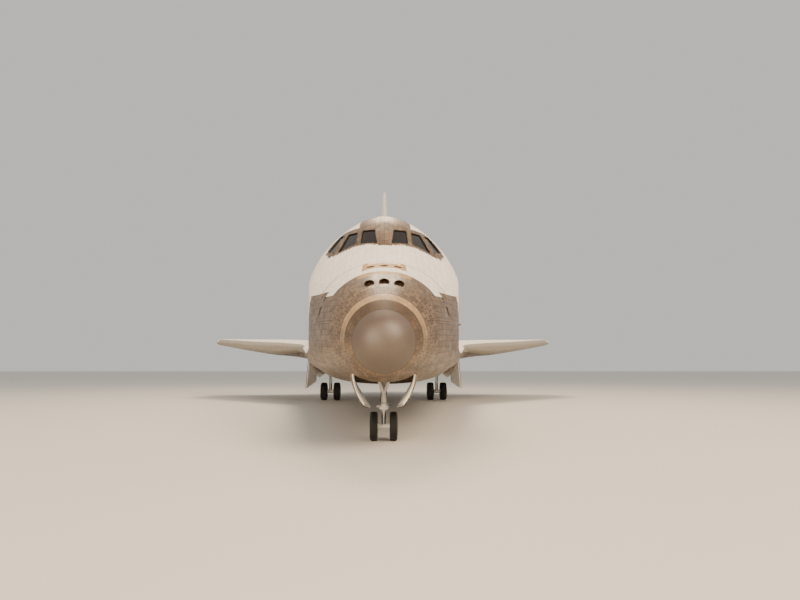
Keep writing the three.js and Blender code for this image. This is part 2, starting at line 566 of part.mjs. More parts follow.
// Engine pods over the aft fuselage: aft, middle x, middle height, half width, half height
const POD = [
  [27300, 1900, 1680, 0, 0],
  [27700, 1920, 1760, 520, 440],
  [28700, 1970, 1900, 1040, 930],
  [30100, 2020, 2060, 1330, 1400],
  [31400, 2050, 2160, 1420, 1600],
  [32300, 2060, 2180, 1400, 1590],
  [33000, 2080, 2190, 1340, 1500],
  [33500, 2100, 2200, 1240, 1370],
];
const POD_BULGE = 0.8; // 1 is an ellipse, and less is squarer
const podCurves = [1, 2, 3, 4].map((i) => through(POD.map((r) => [Math.sqrt(r[0] - POD[0][0]), r[i]])));
function podRing(aft) {
  const [x, z, wide, tall] = podCurves.map((curve) => curve(Math.sqrt(aft - POD[0][0])));
  return Array.from({ length: 16 }, (_, i) => {
    const angle = 2 * Math.PI * i / 16;
    const [c, s] = [Math.cos(angle), Math.sin(angle)];
    return point(x + wide * Math.sign(c) * Math.abs(c) ** POD_BULGE, aft,
      z + tall * Math.sign(s) * Math.abs(s) ** POD_BULGE);
  });
}
const ORBITAL = { x: 2235, aft: 32560, height: 2340, cant: 15.8 };
const orbitalAxis = engineAxis(ORBITAL.cant);
const orbitalGimbal = point(ORBITAL.x, ORBITAL.aft, ORBITAL.height);
const podPlaces = [27300, 27340, 27480, 27800, 28400, 29200, 30200, 31400, 32400, 33500];
const podSkin = loft(podPlaces.map(podRing));
const STINGER = { low: [2750, 32700, 1620], high: [3420, 33800, 2760] };
const orbitalRecess = bar(orbitalGimbal.clone().addScaledVector(orbitalAxis, -260),
  orbitalGimbal.clone().addScaledVector(orbitalAxis, 1500), 430, 640, 16);
const ORBITAL_HEAD = { length: 160, radius: 60, ear: 90 };
let pod = podSkin.add(box(STINGER.low, STINGER.high)).subtract(orbitalRecess);
for (const side of [-1, 1]) {
  const inner = ORBITAL.x + side * (ORBITAL_HEAD.length / 2 + FIT);
  const outer = inner + side * ORBITAL_HEAD.ear;
  pod = pod.add(box([Math.min(inner, outer), ORBITAL.aft - 420, ORBITAL.height - 80],
    [Math.max(inner, outer), ORBITAL.aft + 70, ORBITAL.height + 80]));
}

// Vertical fin: sections at heights, a wedge each side of the hinge line of the split rudder.
const FIN = { root: 2450, tip: 10566, rootFront: 26460, noseHalf: 45 };
const FIN_BASE = 2540;
const finFront = (z) => Math.max(FIN.rootFront + (z - FIN_BASE), BAY_END + 40);
const finBack = (z) => 33280 + (z - FIN_BASE) * 0.4932;
const RUDDER = {
  lowZ: 5450, highZ: 10150, lowAft: 32463, sweep: 0.6957, lowHalf: 316, highHalf: 165, tail: 26, swing: 76.4,
};
const hingeLow = point(0, RUDDER.lowAft, RUDDER.lowZ);
const hingeHigh = point(0, RUDDER.lowAft + (RUDDER.highZ - RUDDER.lowZ) * RUDDER.sweep, RUDDER.highZ);
const hingeWay = hingeHigh.clone().sub(hingeLow).normalize();
const rudderShare = (z) => (z - RUDDER.lowZ) / (RUDDER.highZ - RUDDER.lowZ);
const hingeAft = (z) => mix(hingeLow.y, hingeHigh.y, rudderShare(z));
const hingeHalf = (z) => mix(RUDDER.lowHalf, RUDDER.highHalf, rudderShare(z));
function finRing(z, narrow = 1) {
  const [front, hinge, back] = [finFront(z), hingeAft(z), finBack(z)];
  const half = hingeHalf(z);
  const outline = [[0, front], [FIN.noseHalf * 0.75, front + 30], [FIN.noseHalf, front + 110],
    [half * 0.97, hinge - 350], [half, hinge], [RUDDER.tail, back]];
  const side = outline.map(([x, y]) => point(x * narrow, y, z));
  return [...side, ...side.slice(1).reverse().map((p) => point(-p.x, p.y, p.z))];
}
const finHeights = [FIN.root, 3320, RUDDER.lowZ, RUDDER.highZ, FIN.tip - 60];
const finSkin = loft([...finHeights.map((z) => finRing(z)), finRing(FIN.tip, 0.55)]);
const across = point(0, hingeWay.z, -hingeWay.y); // aft, square to the rudder's hinge line
// A flat slab with ends square to the hinge line, from two distances before it to far behind it.
function rudderSlab(lowFront, highFront, grow) {
  const low = hingeLow.clone().addScaledVector(hingeWay, -grow);
  const high = hingeHigh.clone().addScaledVector(hingeWay, grow);
  const side = (x) => [[low, lowFront], [low, 4000], [high, 4000], [high, highFront]]
    .map(([p, along]) => p.clone().addScaledVector(across, along).setX(x));
  return loft([side(-1200), side(1200)]);
}
// The fin ends where a panel's front corner reaches with the brake open and the rudder hard over.
const finEnd = (half) => -half * Math.sin(THREE.MathUtils.degToRad(RUDDER.swing)) - RUN;
// The housing of the drag chute at the fin's foot
const CHUTE = { front: point(0, 31300, 2900), back: point(0, 33050, 3430), radius: 240, endRadius: 310 };
const chuteHousing = (grow) => bar(CHUTE.front, CHUTE.back, CHUTE.radius + grow, CHUTE.endRadius + grow, 14);
const fin = finSkin.subtract(rudderSlab(finEnd(RUDDER.lowHalf), finEnd(RUDDER.highHalf), 0))
  .add(chuteHousing(0));
const finSolid = fin.subtract(aftGrown).subtract(domes[0].outer(3)).subtract(upperRoom);
addMesh('fin', finSolid, materials.white);
const podSolid = pod.subtract(aftGrown).subtract(domes[0].outer(3)).subtract(upperRoom)
  .subtract(finSkin.translate([FIT, 0, 0])).subtract(chuteHousing(1));
const largest = (solid) => solid.decompose().sort((a, b) => b.volume() - a.volume())[0];
addMesh('engine_pod_port', largest(podSolid), materials.blanket, port);
addMesh('aft_fuselage', aftBody, materials.white);

// Rudder: an actuator shaft on the hinge line turns with it, and two half panels split from it as a brake.
const SHAFT = 62;
const ACTUATOR = { radius: 120, length: 260, count: 3 };
const actuatorMiddles = spread(hingeLow, hingeHigh, ACTUATOR.count);
const shaftLow = hingeLow.clone().addScaledVector(hingeWay, FIT);
const shaftHigh = hingeHigh.clone().addScaledVector(hingeWay, -FIT);
// A sector before the shaft closes the slot at rest, and the open panels' front faces stop short of it.
const SECTOR = { angle: 37, reach: 0.93, endGap: 20 };
const sectorRing = (middle, half) => [-1, -0.5, 0, 0.5, 1].map((share) => {
  const angle = THREE.MathUtils.degToRad(share * SECTOR.angle);
  const spoke = across.clone().multiplyScalar(-Math.cos(angle)).setX(Math.sin(angle));
  return middle.clone().addScaledVector(spoke, half * SECTOR.reach);
});
const sectorEnd = (end, sign, half) => {
  const middle = end.clone().addScaledVector(hingeWay, sign * SECTOR.endGap);
  return [middle, ...sectorRing(middle, half)];
};
const sector = loft([sectorEnd(hingeLow, 1, RUDDER.lowHalf), sectorEnd(hingeHigh, -1, RUDDER.highHalf)]);
const rudderShaft = union(bar(shaftLow, shaftHigh, SHAFT, SHAFT, 8), sector,
  ...actuatorMiddles.map((p) => disc(p, hingeWay, ACTUATOR.radius, ACTUATOR.length)));
const rudderPivot = pivot('pivot_rudder', hingeLow, hingeWay);
addMesh('rudder_actuators', rudderShaft, materials.metal, rudderPivot);
const brakePivot = pivot('pivot_brake_panel_port', hingeLow, hingeWay, port);
// Gaps at the centre plane and the hinge line, and at the fin above and below
const PANEL = { split: 3, endGap: 20 };
let panel = finSkin.intersect(rudderSlab(PANEL.split, PANEL.split, -PANEL.endGap))
  .intersect(box([PANEL.split, 0, 0], [1500, 50000, 20000]))
  .subtract(bar(hingeLow, hingeHigh, SHAFT + 8, SHAFT + 8, 8));
for (const p of actuatorMiddles) {
  panel = panel.subtract(disc(p, hingeWay, ACTUATOR.radius + 20, ACTUATOR.length + 2 * FIT));
}
addMesh('brake_panel_port', panel, materials.blanket, brakePivot);

// Wing: sections square to the span from the leading edge to the elevons' hinge line and the trailing edge.
const WING = { root: HULL_RADIUS + FIT, rise: 0.0612, hingeAft: 29235, hingeHeight: -3020, tail: 15 };
const crestAt = through([[2620, 680], [4700, 640], [7000, 513], [9500, 365], [11900, 228]]);
const keelAt = through([[2620, 520], [4700, 560], [7000, 500], [9500, 360], [11900, 172]]);
const hingeThickAt = (x) => mix(540, 300, (x - 2620) / (HALF_SPAN - 2620));
function edgeAt(x) {
  const [glove, main] = [6700 + (x - 2616) * 6.313, 15240 + x];
  const corner = Math.max(x - 11500, 0);
  return (glove + main - Math.hypot(glove - main, 1500)) / 2 + corner * corner / 500;
}
const tailAt = (x) => 32746 - 0.1773 * x;
const wingHingeHeight = (x) => WING.hingeHeight + WING.rise * x;
// From the leading edge to the thickest section, and on to the hinge line, at shares of the chord. The lower
// side slopes gently behind the glove's edge, and is rounder outboard.
const SECTION = { thickest: 0.4, edgeHeight: -2500, droop: 250, gloveRun: 4000 };
function wingRing(x, narrow = 1) {
  const front = edgeAt(x);
  const chord = WING.hingeAft - front;
  const droop = SECTION.droop * THREE.MathUtils.clamp((6500 - x) / 3900, 0, 1);
  const start = Math.max(0, (CABIN_END + 2 * FIT - front) / chord);
  const edge = Math.max(SECTION.edgeHeight, wingHingeHeight(x));
  const outboard = THREE.MathUtils.smoothstep(x, 4300, 7000);
  const upper = [];
  const lower = [];
  for (const share of [0, 0.01, 0.05, 0.16, 0.42, 1]) {
    const u = mix(start, 1, share);
    const middle = wingHingeHeight(x) - droop * (1 - u) ** 2;
    const fade = Math.min(THREE.MathUtils.smoothstep(u, SECTION.thickest, 1.15) * 1.19, 1);
    const [crest, keel] = [crestAt(x), keelAt(x)].map((t) => mix(t, hingeThickAt(x) / 2, fade) * narrow);
    const rise = Math.sqrt(1 - (1 - Math.min(u / SECTION.thickest, 1)) ** 2);
    const gentle = 1 - (1 - Math.min(u * chord / SECTION.gloveRun, 1)) ** 1.35;
    const fall = mix(Math.max(gentle, rise * 0.5), rise ** 0.6, outboard);
    const aft = mix(front, WING.hingeAft, u);
    upper.push(point(x, aft, mix(edge, middle + crest, rise)));
    lower.push(point(x, aft, mix(edge, middle - keel, fall)));
  }
  const tail = tailAt(x);
  upper.push(point(x, tail, wingHingeHeight(x) + WING.tail));
  lower.push(point(x, tail, wingHingeHeight(x) - WING.tail));
  return [...upper, ...lower.reverse()];
}
const WING_PLACES = [WING.root, 2950, 3500, 4150, 4600, 5100, 6200, 7475, 9400, 11340, 11700];
const wingSkin = loft([...WING_PLACES.map((x) => wingRing(x)), wingRing(HALF_SPAN, 0.55)]);

const EDGE = { from: 4150, to: 11650, depth: 620 };
function edgeRegion(grow) {
  const xs = [EDGE.from - grow, 4700, 5300, 6500, 9000, EDGE.to + grow];
  const back = xs.map((x) => [x, edgeAt(x) + EDGE.depth + grow]);
  return prism([[xs[0], 8000], [xs.at(-1), 8000], ...back.reverse()], -5000, 0);
}
addMesh('leading_edge_port', wingSkin.intersect(edgeRegion(0)), materials.carbon, port);

const ELEVONS = [['inboard', 3260, 7450], ['outboard', 7500, 11340]];
const noseRadius = (x) => hingeThickAt(x) / 2 - 3;
let wing = wingSkin.subtract(edgeRegion(FIT));
for (const [name, from, to] of ELEVONS) {
  const [inner, outer] = [from, to].map((x) => point(x, WING.hingeAft, wingHingeHeight(x)));
  const axis = outer.clone().sub(inner).normalize();
  // The hinge rises outboard, so the ends are cut square to it.
  const sideCut = (p, sign, grow) => {
    const along = axis.clone().multiplyScalar(sign * grow);
    const corner = (aft, up) => point(p.x - up * axis.z, aft, p.z + up * axis.x).add(along);
    const [front, back] = [WING.hingeAft - 1, 34000];
    return [corner(front, -700), corner(back, -700), corner(back, 700), corner(front, 700)];
  };
  const region = (grow) => loft([sideCut(inner, -1, grow), sideCut(outer, 1, grow)]);
  const nose = (grow) => {
    const ends = [inner.clone().addScaledVector(axis, -grow), outer.clone().addScaledVector(axis, grow)];
    return bar(...ends, noseRadius(from) + grow * 1.8, noseRadius(to) + grow * 1.8, 12);
  };
  const gap = 14;
  const middles = spread(inner, outer, 2);
  let elevon = wingSkin.intersect(region(0)).add(nose(0));
  wing = wing.subtract(region(gap)).subtract(nose(gap));
  for (const p of middles) {
    const radius = noseRadius(p.x);
    elevon = elevon.subtract(disc(p, axis, radius + 14, BOSS.length + 2 * FIT, 12));
    wing = wing.add(fixedBoss(p, axis, radius, point(0, -radius - 160, 0)));
  }
  const elevonPivot = pivot(`pivot_elevon_${name}_port`, inner, axis, port);
  addMesh(`elevon_${name}_port`, elevon, materials.white, elevonPivot);
}

// Main wheel wells under the wings, with one door each, open.
const MAIN_WELL = { inner: 2760, outer: 4330, front: 20300, back: 24700, roof: -2560 };
wing = wing.subtract(box([MAIN_WELL.inner, MAIN_WELL.front, -4500],
  [MAIN_WELL.outer, MAIN_WELL.back, MAIN_WELL.roof]));
wing = wing.subtract(aftGrown);
addMesh('wing_port', largest(wing), materials.white, port);

const mainDoorTop = point(MAIN_WELL.outer + 20, MAIN_WELL.front, -3000); // inside the wing, which trims it
const MAIN_DOOR = { deep: 1890, thick: 70, splay: 0.08 };
const mainDoor = loft([MAIN_WELL.front, MAIN_WELL.back].map((aft) => {
  const [x, z] = [mainDoorTop.x, mainDoorTop.z];
  const [out, low] = [MAIN_DOOR.deep * MAIN_DOOR.splay, z - MAIN_DOOR.deep];
  return [point(x, aft, z), point(x + MAIN_DOOR.thick, aft, z),
    point(x + MAIN_DOOR.thick + out, aft, low), point(x + out, aft, low)];
}));
addMesh('main_gear_door_port', mainDoor.subtract(wing.translate([0, 0, -FIT])), materials.black_tile, port);

// Landing gear. The ground lies under the body at a slope, because the body stands nose down.
const groundAt = (aft) => -4800 - (aft - 3510) * Math.tan(NOSE_DOWN);
const TYRES = { // outer radius, rim radius, width, half distance between the pair
  nose: [406, 215, 224, 280],
  main: [565, 290, 420, 420],
};
const WHEEL_SIDES = 18;
const beside = (middle, side, half) => middle.clone().addScaledVector(crossways, side * half);
function tyre(middle, [radius, rim, width]) {
  const half = width / 2;
  const tread = radius / Math.cos(Math.PI / WHEEL_SIDES); // the flats touch the ground at the real radius
  const bead = (rim + FIT) / Math.cos(Math.PI / WHEEL_SIDES);
  const profile = [[-half * 0.75, bead], [-half, tread * 0.84], [-half * 0.6, tread],
    [half * 0.6, tread], [half, tread * 0.84], [half * 0.75, bead], [-half * 0.75, bead]];
  return turned(profile, middle, crossways, WHEEL_SIDES, NOSE_DOWN);
}
function rims(middle, [, rim, width, half], axleRadius) {
  const outer = [[0.38, rim], [0.2, rim * 0.75], [0.3, rim * 0.5], [0.3, 0]];
  const wheel = [...outer.map(([share, radius]) => [-width * share, radius]).reverse(),
    ...outer.map(([share, radius]) => [width * share, radius])];
  const ends = [-1, 1].map((side) => beside(middle, side, half));
  const at = (end) => turned(wheel, end, crossways, 12);
  return union(...ends.map(at), bar(...ends, axleRadius, axleRadius, 12));
}
// The leg's lower end round a turning axle: a sleeve that the axle's rims close at both ends.
function axleSleeve(middle, [, , width, half], radius, axleRadius) {
  const reach = half - width * 0.3 - FIT;
  const hole = disc(middle, crossways, axleRadius + 5, 2 * reach + 10, 12);
  return disc(middle, crossways, radius, 2 * reach).subtract(hole);
}

const noseAxle = point(0, 3510, groundAt(3510) + TYRES.nose[0]);
const NOSE_LEG = { collar: 480, piston: 62, cylinder: 95 };
const collarLow = noseAxle.clone().setZ(noseAxle.z + NOSE_LEG.collar);
const steerPivot = pivot('pivot_nose_steering', collarLow, point(0, 0, 1));
const noseWheelPivot = pivot('pivot_nose_wheels', noseAxle, crossways, steerPivot);
addMesh('nose_rims', rims(noseAxle, TYRES.nose, 34), materials.metal, noseWheelPivot);
for (const [side, name] of [[1, 'port'], [-1, 'starboard']]) {
  addMesh(`nose_tyre_${name}`, tyre(beside(noseAxle, side, TYRES.nose[3]), TYRES.nose),
    materials.rubber, noseWheelPivot);
}
const lowerLeg = union(axleSleeve(noseAxle, TYRES.nose, 75, 34),
  bar(noseAxle.clone().setZ(noseAxle.z + 55), collarLow.clone().setZ(collarLow.z - FIT), NOSE_LEG.piston),
  box([-50, noseAxle.y + 60, noseAxle.z + 20], [50, noseAxle.y + 230, noseAxle.z + 90]),
  bar(point(0, noseAxle.y + 40, noseAxle.z + 55), point(0, noseAxle.y + 215, noseAxle.z + 55), 50, 50, 8));
const noseFork = lowerLeg.subtract(disc(noseAxle, crossways, 39, 600, 12));
addMesh('nose_gear_fork', noseFork, materials.strut, steerPivot);
const wellRoof = WELL.roof;
const legTop = noseAxle.clone().setZ(wellRoof - FIT);
const noseLeg = union(bar(collarLow, legTop, NOSE_LEG.cylinder),
  bar(point(0, noseAxle.y, collarLow.z), point(0, noseAxle.y, collarLow.z + 160), 130, 130),
  bar(point(-430, noseAxle.y, -2480), point(430, noseAxle.y, -2480), 60, 60),
  bar(point(0, noseAxle.y - 60, -3500), point(420, 2100, wellRoof - 60), 45),
  bar(point(0, noseAxle.y - 60, -3500), point(-420, 2100, wellRoof - 60), 45),
  bar(point(0, noseAxle.y, -3300), point(400, noseAxle.y, -2500), 38),
  bar(point(0, noseAxle.y, -3300), point(-400, noseAxle.y, -2500), 38),
  bar(point(-440, 2100, wellRoof - 60), point(440, 2100, wellRoof - 60), 50));
const noseLegRoom = box([-800, 1500, collarLow.z], [800, 4300, wellRoof - FIT]);
addMesh('nose_gear_leg', noseLeg.intersect(noseLegRoom), materials.strut);

// Nose gear doors: the belly's own skin, swung down about its outer edges.
const noseDoorLines = [WELL.front + 20, WELL.back - 20].map((aft) => {
  const half = mix(WELL.frontHalf, WELL.backHalf, (aft - WELL.front) / (WELL.back - WELL.front)) - 10;
  const belly = sectionCurves(forwardAt(aft), 0)[2];
  let best = 0;
  for (let t = 0; t <= 1; t += 0.002) if (belly.getPoint(t).x > half) best = t;
  return point(half, aft, belly.getPoint(best).y);
});
const NOSE_DOOR = { open: 54, thick: 55 };
const doorOutline = [[5, WELL.front + 20], [noseDoorLines[0].x, WELL.front + 20],
  [noseDoorLines[1].x, WELL.back - 20], [5, WELL.back - 20]];
const doorPatch = hull(forwardAt, FORWARD_PLACES.slice(2, 8))
  .subtract(hull(forwardAt, FORWARD_PLACES.slice(1, 9), NOSE_DOOR.thick))
  .intersect(prism(doorOutline, -4000, -2300));
const swing = new THREE.Matrix4().makeTranslation(noseDoorLines[0])
  .multiply(new THREE.Matrix4().makeRotationAxis(noseDoorLines[1].clone().sub(noseDoorLines[0]).normalize(),
    -THREE.MathUtils.degToRad(NOSE_DOOR.open)))
  .multiply(new THREE.Matrix4().makeTranslation(noseDoorLines[0].clone().negate()));
const noseDoor = doorPatch.transform(swing.elements);
const noseDoorSolid = noseDoor.translate([0, 0, -FIT]).subtract(forwardBody.translate([0, 0, -FIT]))
  .subtract(forwardBody.translate([-FIT, 0, 0]));
addMesh('nose_gear_door_port', largest(noseDoorSolid), materials.black_tile, port);

const mainAxle = point(3455, 24000, groundAt(24000) + TYRES.main[0]);
const mainWheelPivot = pivot('pivot_main_wheels_port', mainAxle, crossways, port);
addMesh('main_rims_port', rims(mainAxle, TYRES.main, 60), materials.metal, mainWheelPivot);
for (const [side, name] of [[1, 'outer'], [-1, 'inner']]) {
  addMesh(`main_tyre_${name}_port`, tyre(beside(mainAxle, side, TYRES.main[3]), TYRES.main),
    materials.rubber, mainWheelPivot);
}
const mainTop = MAIN_WELL.roof - FIT;
const mainLeg = union(axleSleeve(mainAxle, TYRES.main, 120, 60),
  bar(mainAxle.clone().setZ(mainAxle.z + 90), mainAxle.clone().setZ(-4300), 95),
  bar(mainAxle.clone().setZ(-4350), mainAxle.clone().setZ(mainTop), 145),
  bar(point(mainAxle.x, 24000, -4150), point(3050, 22300, mainTop + 40), 60),
  bar(point(mainAxle.x, 24000, -4150), point(3860, 22300, mainTop + 40), 60),
  bar(point(mainAxle.x, 24000, -3500), point(4120, 24100, mainTop + 40), 50),
  bar(point(mainAxle.x, 24080, -4400), point(mainAxle.x, 24420, -4850), 40),
  bar(point(mainAxle.x, 24420, -4850), point(mainAxle.x, 24060, -5330), 40));
addMesh('main_gear_leg_port', mainLeg.subtract(disc(mainAxle, crossways, 65, 900, 12))
  .intersect(box([2800, 21000, -6000], [4300, 24690, mainTop])), materials.strut, port);

// Engines: a bell with its head inside the fuselage, turned about the gimbal.
const MAIN_ENGINE = { length: 4270, exit: 1165, throat: 1200, throatRadius: 150, wall: 45 };
function bellRadius({ length, exit, throat, throatRadius }, along) {
  return throatRadius + (exit - throatRadius) * Math.max((along - throat) / (length - throat), 0) ** 0.62;
}
function engineProfile(engine, shieldRadius) {
  const { length, exit, throat, throatRadius, wall } = engine;
  const outerShares = [0.55, 1];
  const innerShares = [1, 0.55, 0.25, 0.07, 0];
  const onShield = (degrees, radius) => {
    const angle = THREE.MathUtils.degToRad(degrees);
    return [radius * Math.cos(angle), radius * Math.sin(angle)];
  };
  const rimShare = (share) => mix(throat, length, share);
  const neck = bellRadius(engine, shieldRadius * 0.86) + wall;
  const profile = [[0, 0], [150, 120], [260, exit * 0.42], [throat * 0.9, exit * 0.45],
    [shieldRadius * 0.82, neck]];
  profile.push(onShield(SHIELD.outer, shieldRadius - SHIELD.thick));
  for (const degrees of [SHIELD.outer, SHIELD.inner]) {
    profile.push(onShield(degrees, shieldRadius));
  }
  const lipStart = profile.at(-1)[0];
  for (const along of outerShares.map(rimShare)) {
    if (along > lipStart + 80) profile.push([along, bellRadius(engine, along) + wall]);
  }
  for (const along of innerShares.map(rimShare)) profile.push([along, bellRadius(engine, along)]);
  profile.push([throat, 0]);
  return profile;
}
for (const [name, x, aft, height, cant, out, radius] of ENGINES) {
  const gimbal = point(x, aft, height);
  const bell = turned(engineProfile(MAIN_ENGINE, radius), gimbal, engineAxis(cant, out), 16);
  const engine = bell.add(disc(gimbal, crossways, HEAD.radius, HEAD.length));
  const enginePivot = pivot(`pivot_main_engine_${name}`, gimbal, crossways);
  addMesh(`main_engine_${name}`, engine, materials.nozzle, enginePivot);
}
const ORBITAL_BELL = { length: 1960, exit: 547, throat: 420, throatRadius: 90, wall: 25 };
function orbitalWall(share, wall) {
  const along = mix(ORBITAL_BELL.throat, ORBITAL_BELL.length, share);
  return [along, bellRadius(ORBITAL_BELL, along) + wall];
}
const orbitalProfile = [[0, 0], [60, 50], [180, 150], [380, 170], [470, 190],
  ...[0.2, 0.55, 1].map((share) => orbitalWall(share, ORBITAL_BELL.wall)),
  ...[1, 0.55, 0.2, 0].map((share) => orbitalWall(share, 0)), [ORBITAL_BELL.throat, 0]];
const orbitalEngine = turned(orbitalProfile, orbitalGimbal, orbitalAxis, 12)
  .add(disc(orbitalGimbal, crossways, ORBITAL_HEAD.radius, ORBITAL_HEAD.length, 12));
const orbitalPivot = pivot('pivot_pod_engine_port', orbitalGimbal, crossways, port);
addMesh('pod_engine_port', orbitalEngine, materials.nozzle, orbitalPivot);

// Mirror the port side, pitch the body and stand it on its wheels over the origin.
const starboard = port.clone();
starboard.scale.x = -1;
starboard.traverse((o) => { o.name = o.name.replace('port', 'starboard'); });
const orbiter = new THREE.Group();
orbiter.add(centre, port, starboard);
orbiter.rotation.x = NOSE_DOWN;
const stand = new THREE.Group();
stand.name = 'space_shuttle';
stand.add(orbiter);
stand.updateMatrixWorld(true);
const bounds = new THREE.Box3().setFromObject(stand, true);
orbiter.position.set(0, -(bounds.min.y + bounds.max.y) / 2, -bounds.min.z);
stand.updateMatrixWorld(true);

export default stand;
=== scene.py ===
import json
import math

import bmesh
import bpy
import numpy as np
from mathutils import Matrix, Vector


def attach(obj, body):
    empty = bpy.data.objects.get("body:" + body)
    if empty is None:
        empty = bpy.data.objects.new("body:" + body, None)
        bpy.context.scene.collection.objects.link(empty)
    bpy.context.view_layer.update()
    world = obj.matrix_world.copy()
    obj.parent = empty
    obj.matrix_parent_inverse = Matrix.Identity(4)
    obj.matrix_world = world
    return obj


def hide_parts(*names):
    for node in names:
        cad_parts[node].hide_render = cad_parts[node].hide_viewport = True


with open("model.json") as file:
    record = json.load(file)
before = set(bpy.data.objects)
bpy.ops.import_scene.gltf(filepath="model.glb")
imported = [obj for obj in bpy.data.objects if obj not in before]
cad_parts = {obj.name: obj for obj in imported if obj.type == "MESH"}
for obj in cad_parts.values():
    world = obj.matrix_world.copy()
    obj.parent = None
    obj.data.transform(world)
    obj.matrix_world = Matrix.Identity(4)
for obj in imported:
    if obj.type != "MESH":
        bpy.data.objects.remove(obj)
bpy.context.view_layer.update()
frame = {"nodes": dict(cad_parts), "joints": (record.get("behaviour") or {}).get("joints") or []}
print("the solids are in place")

# The body is worked out in metres: x to port, y aft from the nose tip, z up from the cargo bay's centreline.
# It stands nose down on its gear, and the body flap's hinge ties it to the ground frame.
standing = {"noseDown": 3.3, "flapAft": 32.96, "flapHeight": -2.625}
pitch = math.radians(standing["noseDown"])
cosPitch, sinPitch = math.cos(pitch), math.sin(pitch)
flapPlace = next(j["pos_m"] for j in frame["joints"] if j["name"] == "body_flap_hinge")
shiftAft = flapPlace[1] - standing["flapAft"] * cosPitch + standing["flapHeight"] * sinPitch
shiftUp = flapPlace[2] - standing["flapAft"] * sinPitch - standing["flapHeight"] * cosPitch
hair = 0.0004  # pieces that seem to touch stand this far apart
crossways = np.array([1.0, 0, 0])


def toGround(points):
    # turn about the x axis by the pitch, then shift
    x, y, z = np.moveaxis(np.asarray(points, float), -1, 0)
    return np.stack([x, y * cosPitch - z * sinPitch + shiftAft, y * sinPitch + z * cosPitch + shiftUp], -1)


def mix(a, b, share):
    return a + (b - a) * share


def unit(vector):
    vector = np.asarray(vector, float)
    return vector / np.linalg.norm(vector)


def makePiece(name, points, faces, material, smoothAngle=30):
    # the faces are turned outwards where the closed surface's signed volume is below zero
    points = toGround(points)
    corners = np.array([f[:3] for f in faces] + [[f[0], f[2], f[3]] for f in faces if len(f) == 4])
    a, b, c = (points[corners[:, i]] for i in range(3))
    if np.einsum("ij,ij->i", a, np.cross(b, c)).sum() < 0:
        faces = [f[::-1] for f in faces]
    mesh = bpy.data.meshes.new(name)
    mesh.from_pydata(points, [], faces)
    mesh.materials.append(material)
    piece = bpy.data.objects.new(name, mesh)
    bpy.context.scene.collection.objects.link(piece)
    piece["smoothAngle"] = float(smoothAngle)
    return piece


def gridFaces(rows, columns, roundRows=False):
    # quads between neighbouring points of a grid whose columns close round, and its rows where asked
    i, j = np.meshgrid(np.arange(rows if roundRows else rows - 1), np.arange(columns), indexing="ij")
    i2, j2 = (i + 1) % rows, (j + 1) % columns
    quads = np.stack([i * columns + j, i * columns + j2, i2 * columns + j2, i2 * columns + j], -1)
    return quads.reshape(-1, 4).tolist()


def loftPiece(name, rings, material, smoothAngle=30, tip=None):
    # rings of equal length joined by quads, with a fan at each end to its mean point or a given tip
    rings = np.asarray(rings, float)
    rows, columns = rings.shape[:2]
    faces = gridFaces(rows, columns)
    last = (rows - 1) * columns
    around = np.arange(columns)
    nextRound = (around + 1) % columns
    first = np.full(columns, rows * columns)
    faces += np.stack([first, nextRound, around], -1).tolist()
    faces += np.stack([first + 1, last + around, last + nextRound], -1).tolist()
    tip = rings[0].mean(0) if tip is None else tip
    points = np.concatenate([rings.reshape(-1, 3), [tip], [rings[-1].mean(0)]])
    return makePiece(name, points, faces, material, smoothAngle)


def ringPiece(name, rings, material, smoothAngle=30):
    # rings joined in a closed chain, which makes a hoop
    rings = np.asarray(rings, float)
    return makePiece(name, rings.reshape(-1, 3), gridFaces(*rings.shape[:2], True), material, smoothAngle)


def lathePiece(name, profile, start, direction, material, sides=48, smoothAngle=30):
    # each profile point, a distance along the axis and a radius, is carried round the axis
    profile = np.asarray(profile, float)
    along = unit(direction)
    side = np.cross([0, 0, 1] if abs(along[2]) < 0.9 else [1, 0, 0], along)
    side /= np.linalg.norm(side)
    turn = np.linspace(0, 2 * np.pi, sides, endpoint=False)
    spokes = np.cos(turn)[:, None] * side + np.sin(turn)[:, None] * np.cross(along, side)
    rings = np.asarray(start) + profile[:, :1, None] * along + profile[:, 1:, None] * spokes
    if profile[0, 1] > 0 and np.allclose(profile[0], profile[-1]):
        return ringPiece(name, rings[:-1], material, smoothAngle)
    return loftPiece(name, rings, material, smoothAngle)


def rod(start, end, radius, material, endRadius=None, sides=24, name="tool"):
    start, end = np.asarray(start, float), np.asarray(end, float)
    length = np.linalg.norm(end - start)
    endRadius = radius if endRadius is None else endRadius
    return lathePiece(name, [[0, radius], [length, endRadius]], start, end - start, material, sides)


def rodAcross(middle, half, radius, material, sides=24, name="tool"):
    # a rod that reaches a half length to either side of its middle, given as a vector
    return rod(middle - half, middle + half, radius, material, None, sides, name)


def block(low, high, material):
    x, y, z = np.meshgrid(*np.array([low, high]).T, indexing="ij")
    points = np.stack([x, y, z], -1).reshape(-1, 3)
    faces = [[0, 1, 3, 2], [4, 6, 7, 5], [0, 4, 5, 1], [2, 3, 7, 6], [0, 2, 6, 4], [1, 5, 7, 3]]
    return makePiece("tool", points, faces, material)


def plank(outline, push, material, name="tool"):
    # a flat or nearly flat outline of points carried straight along a vector
    outline = np.asarray(outline, float)
    return loftPiece(name, [outline, outline + np.asarray(push, float)], material)


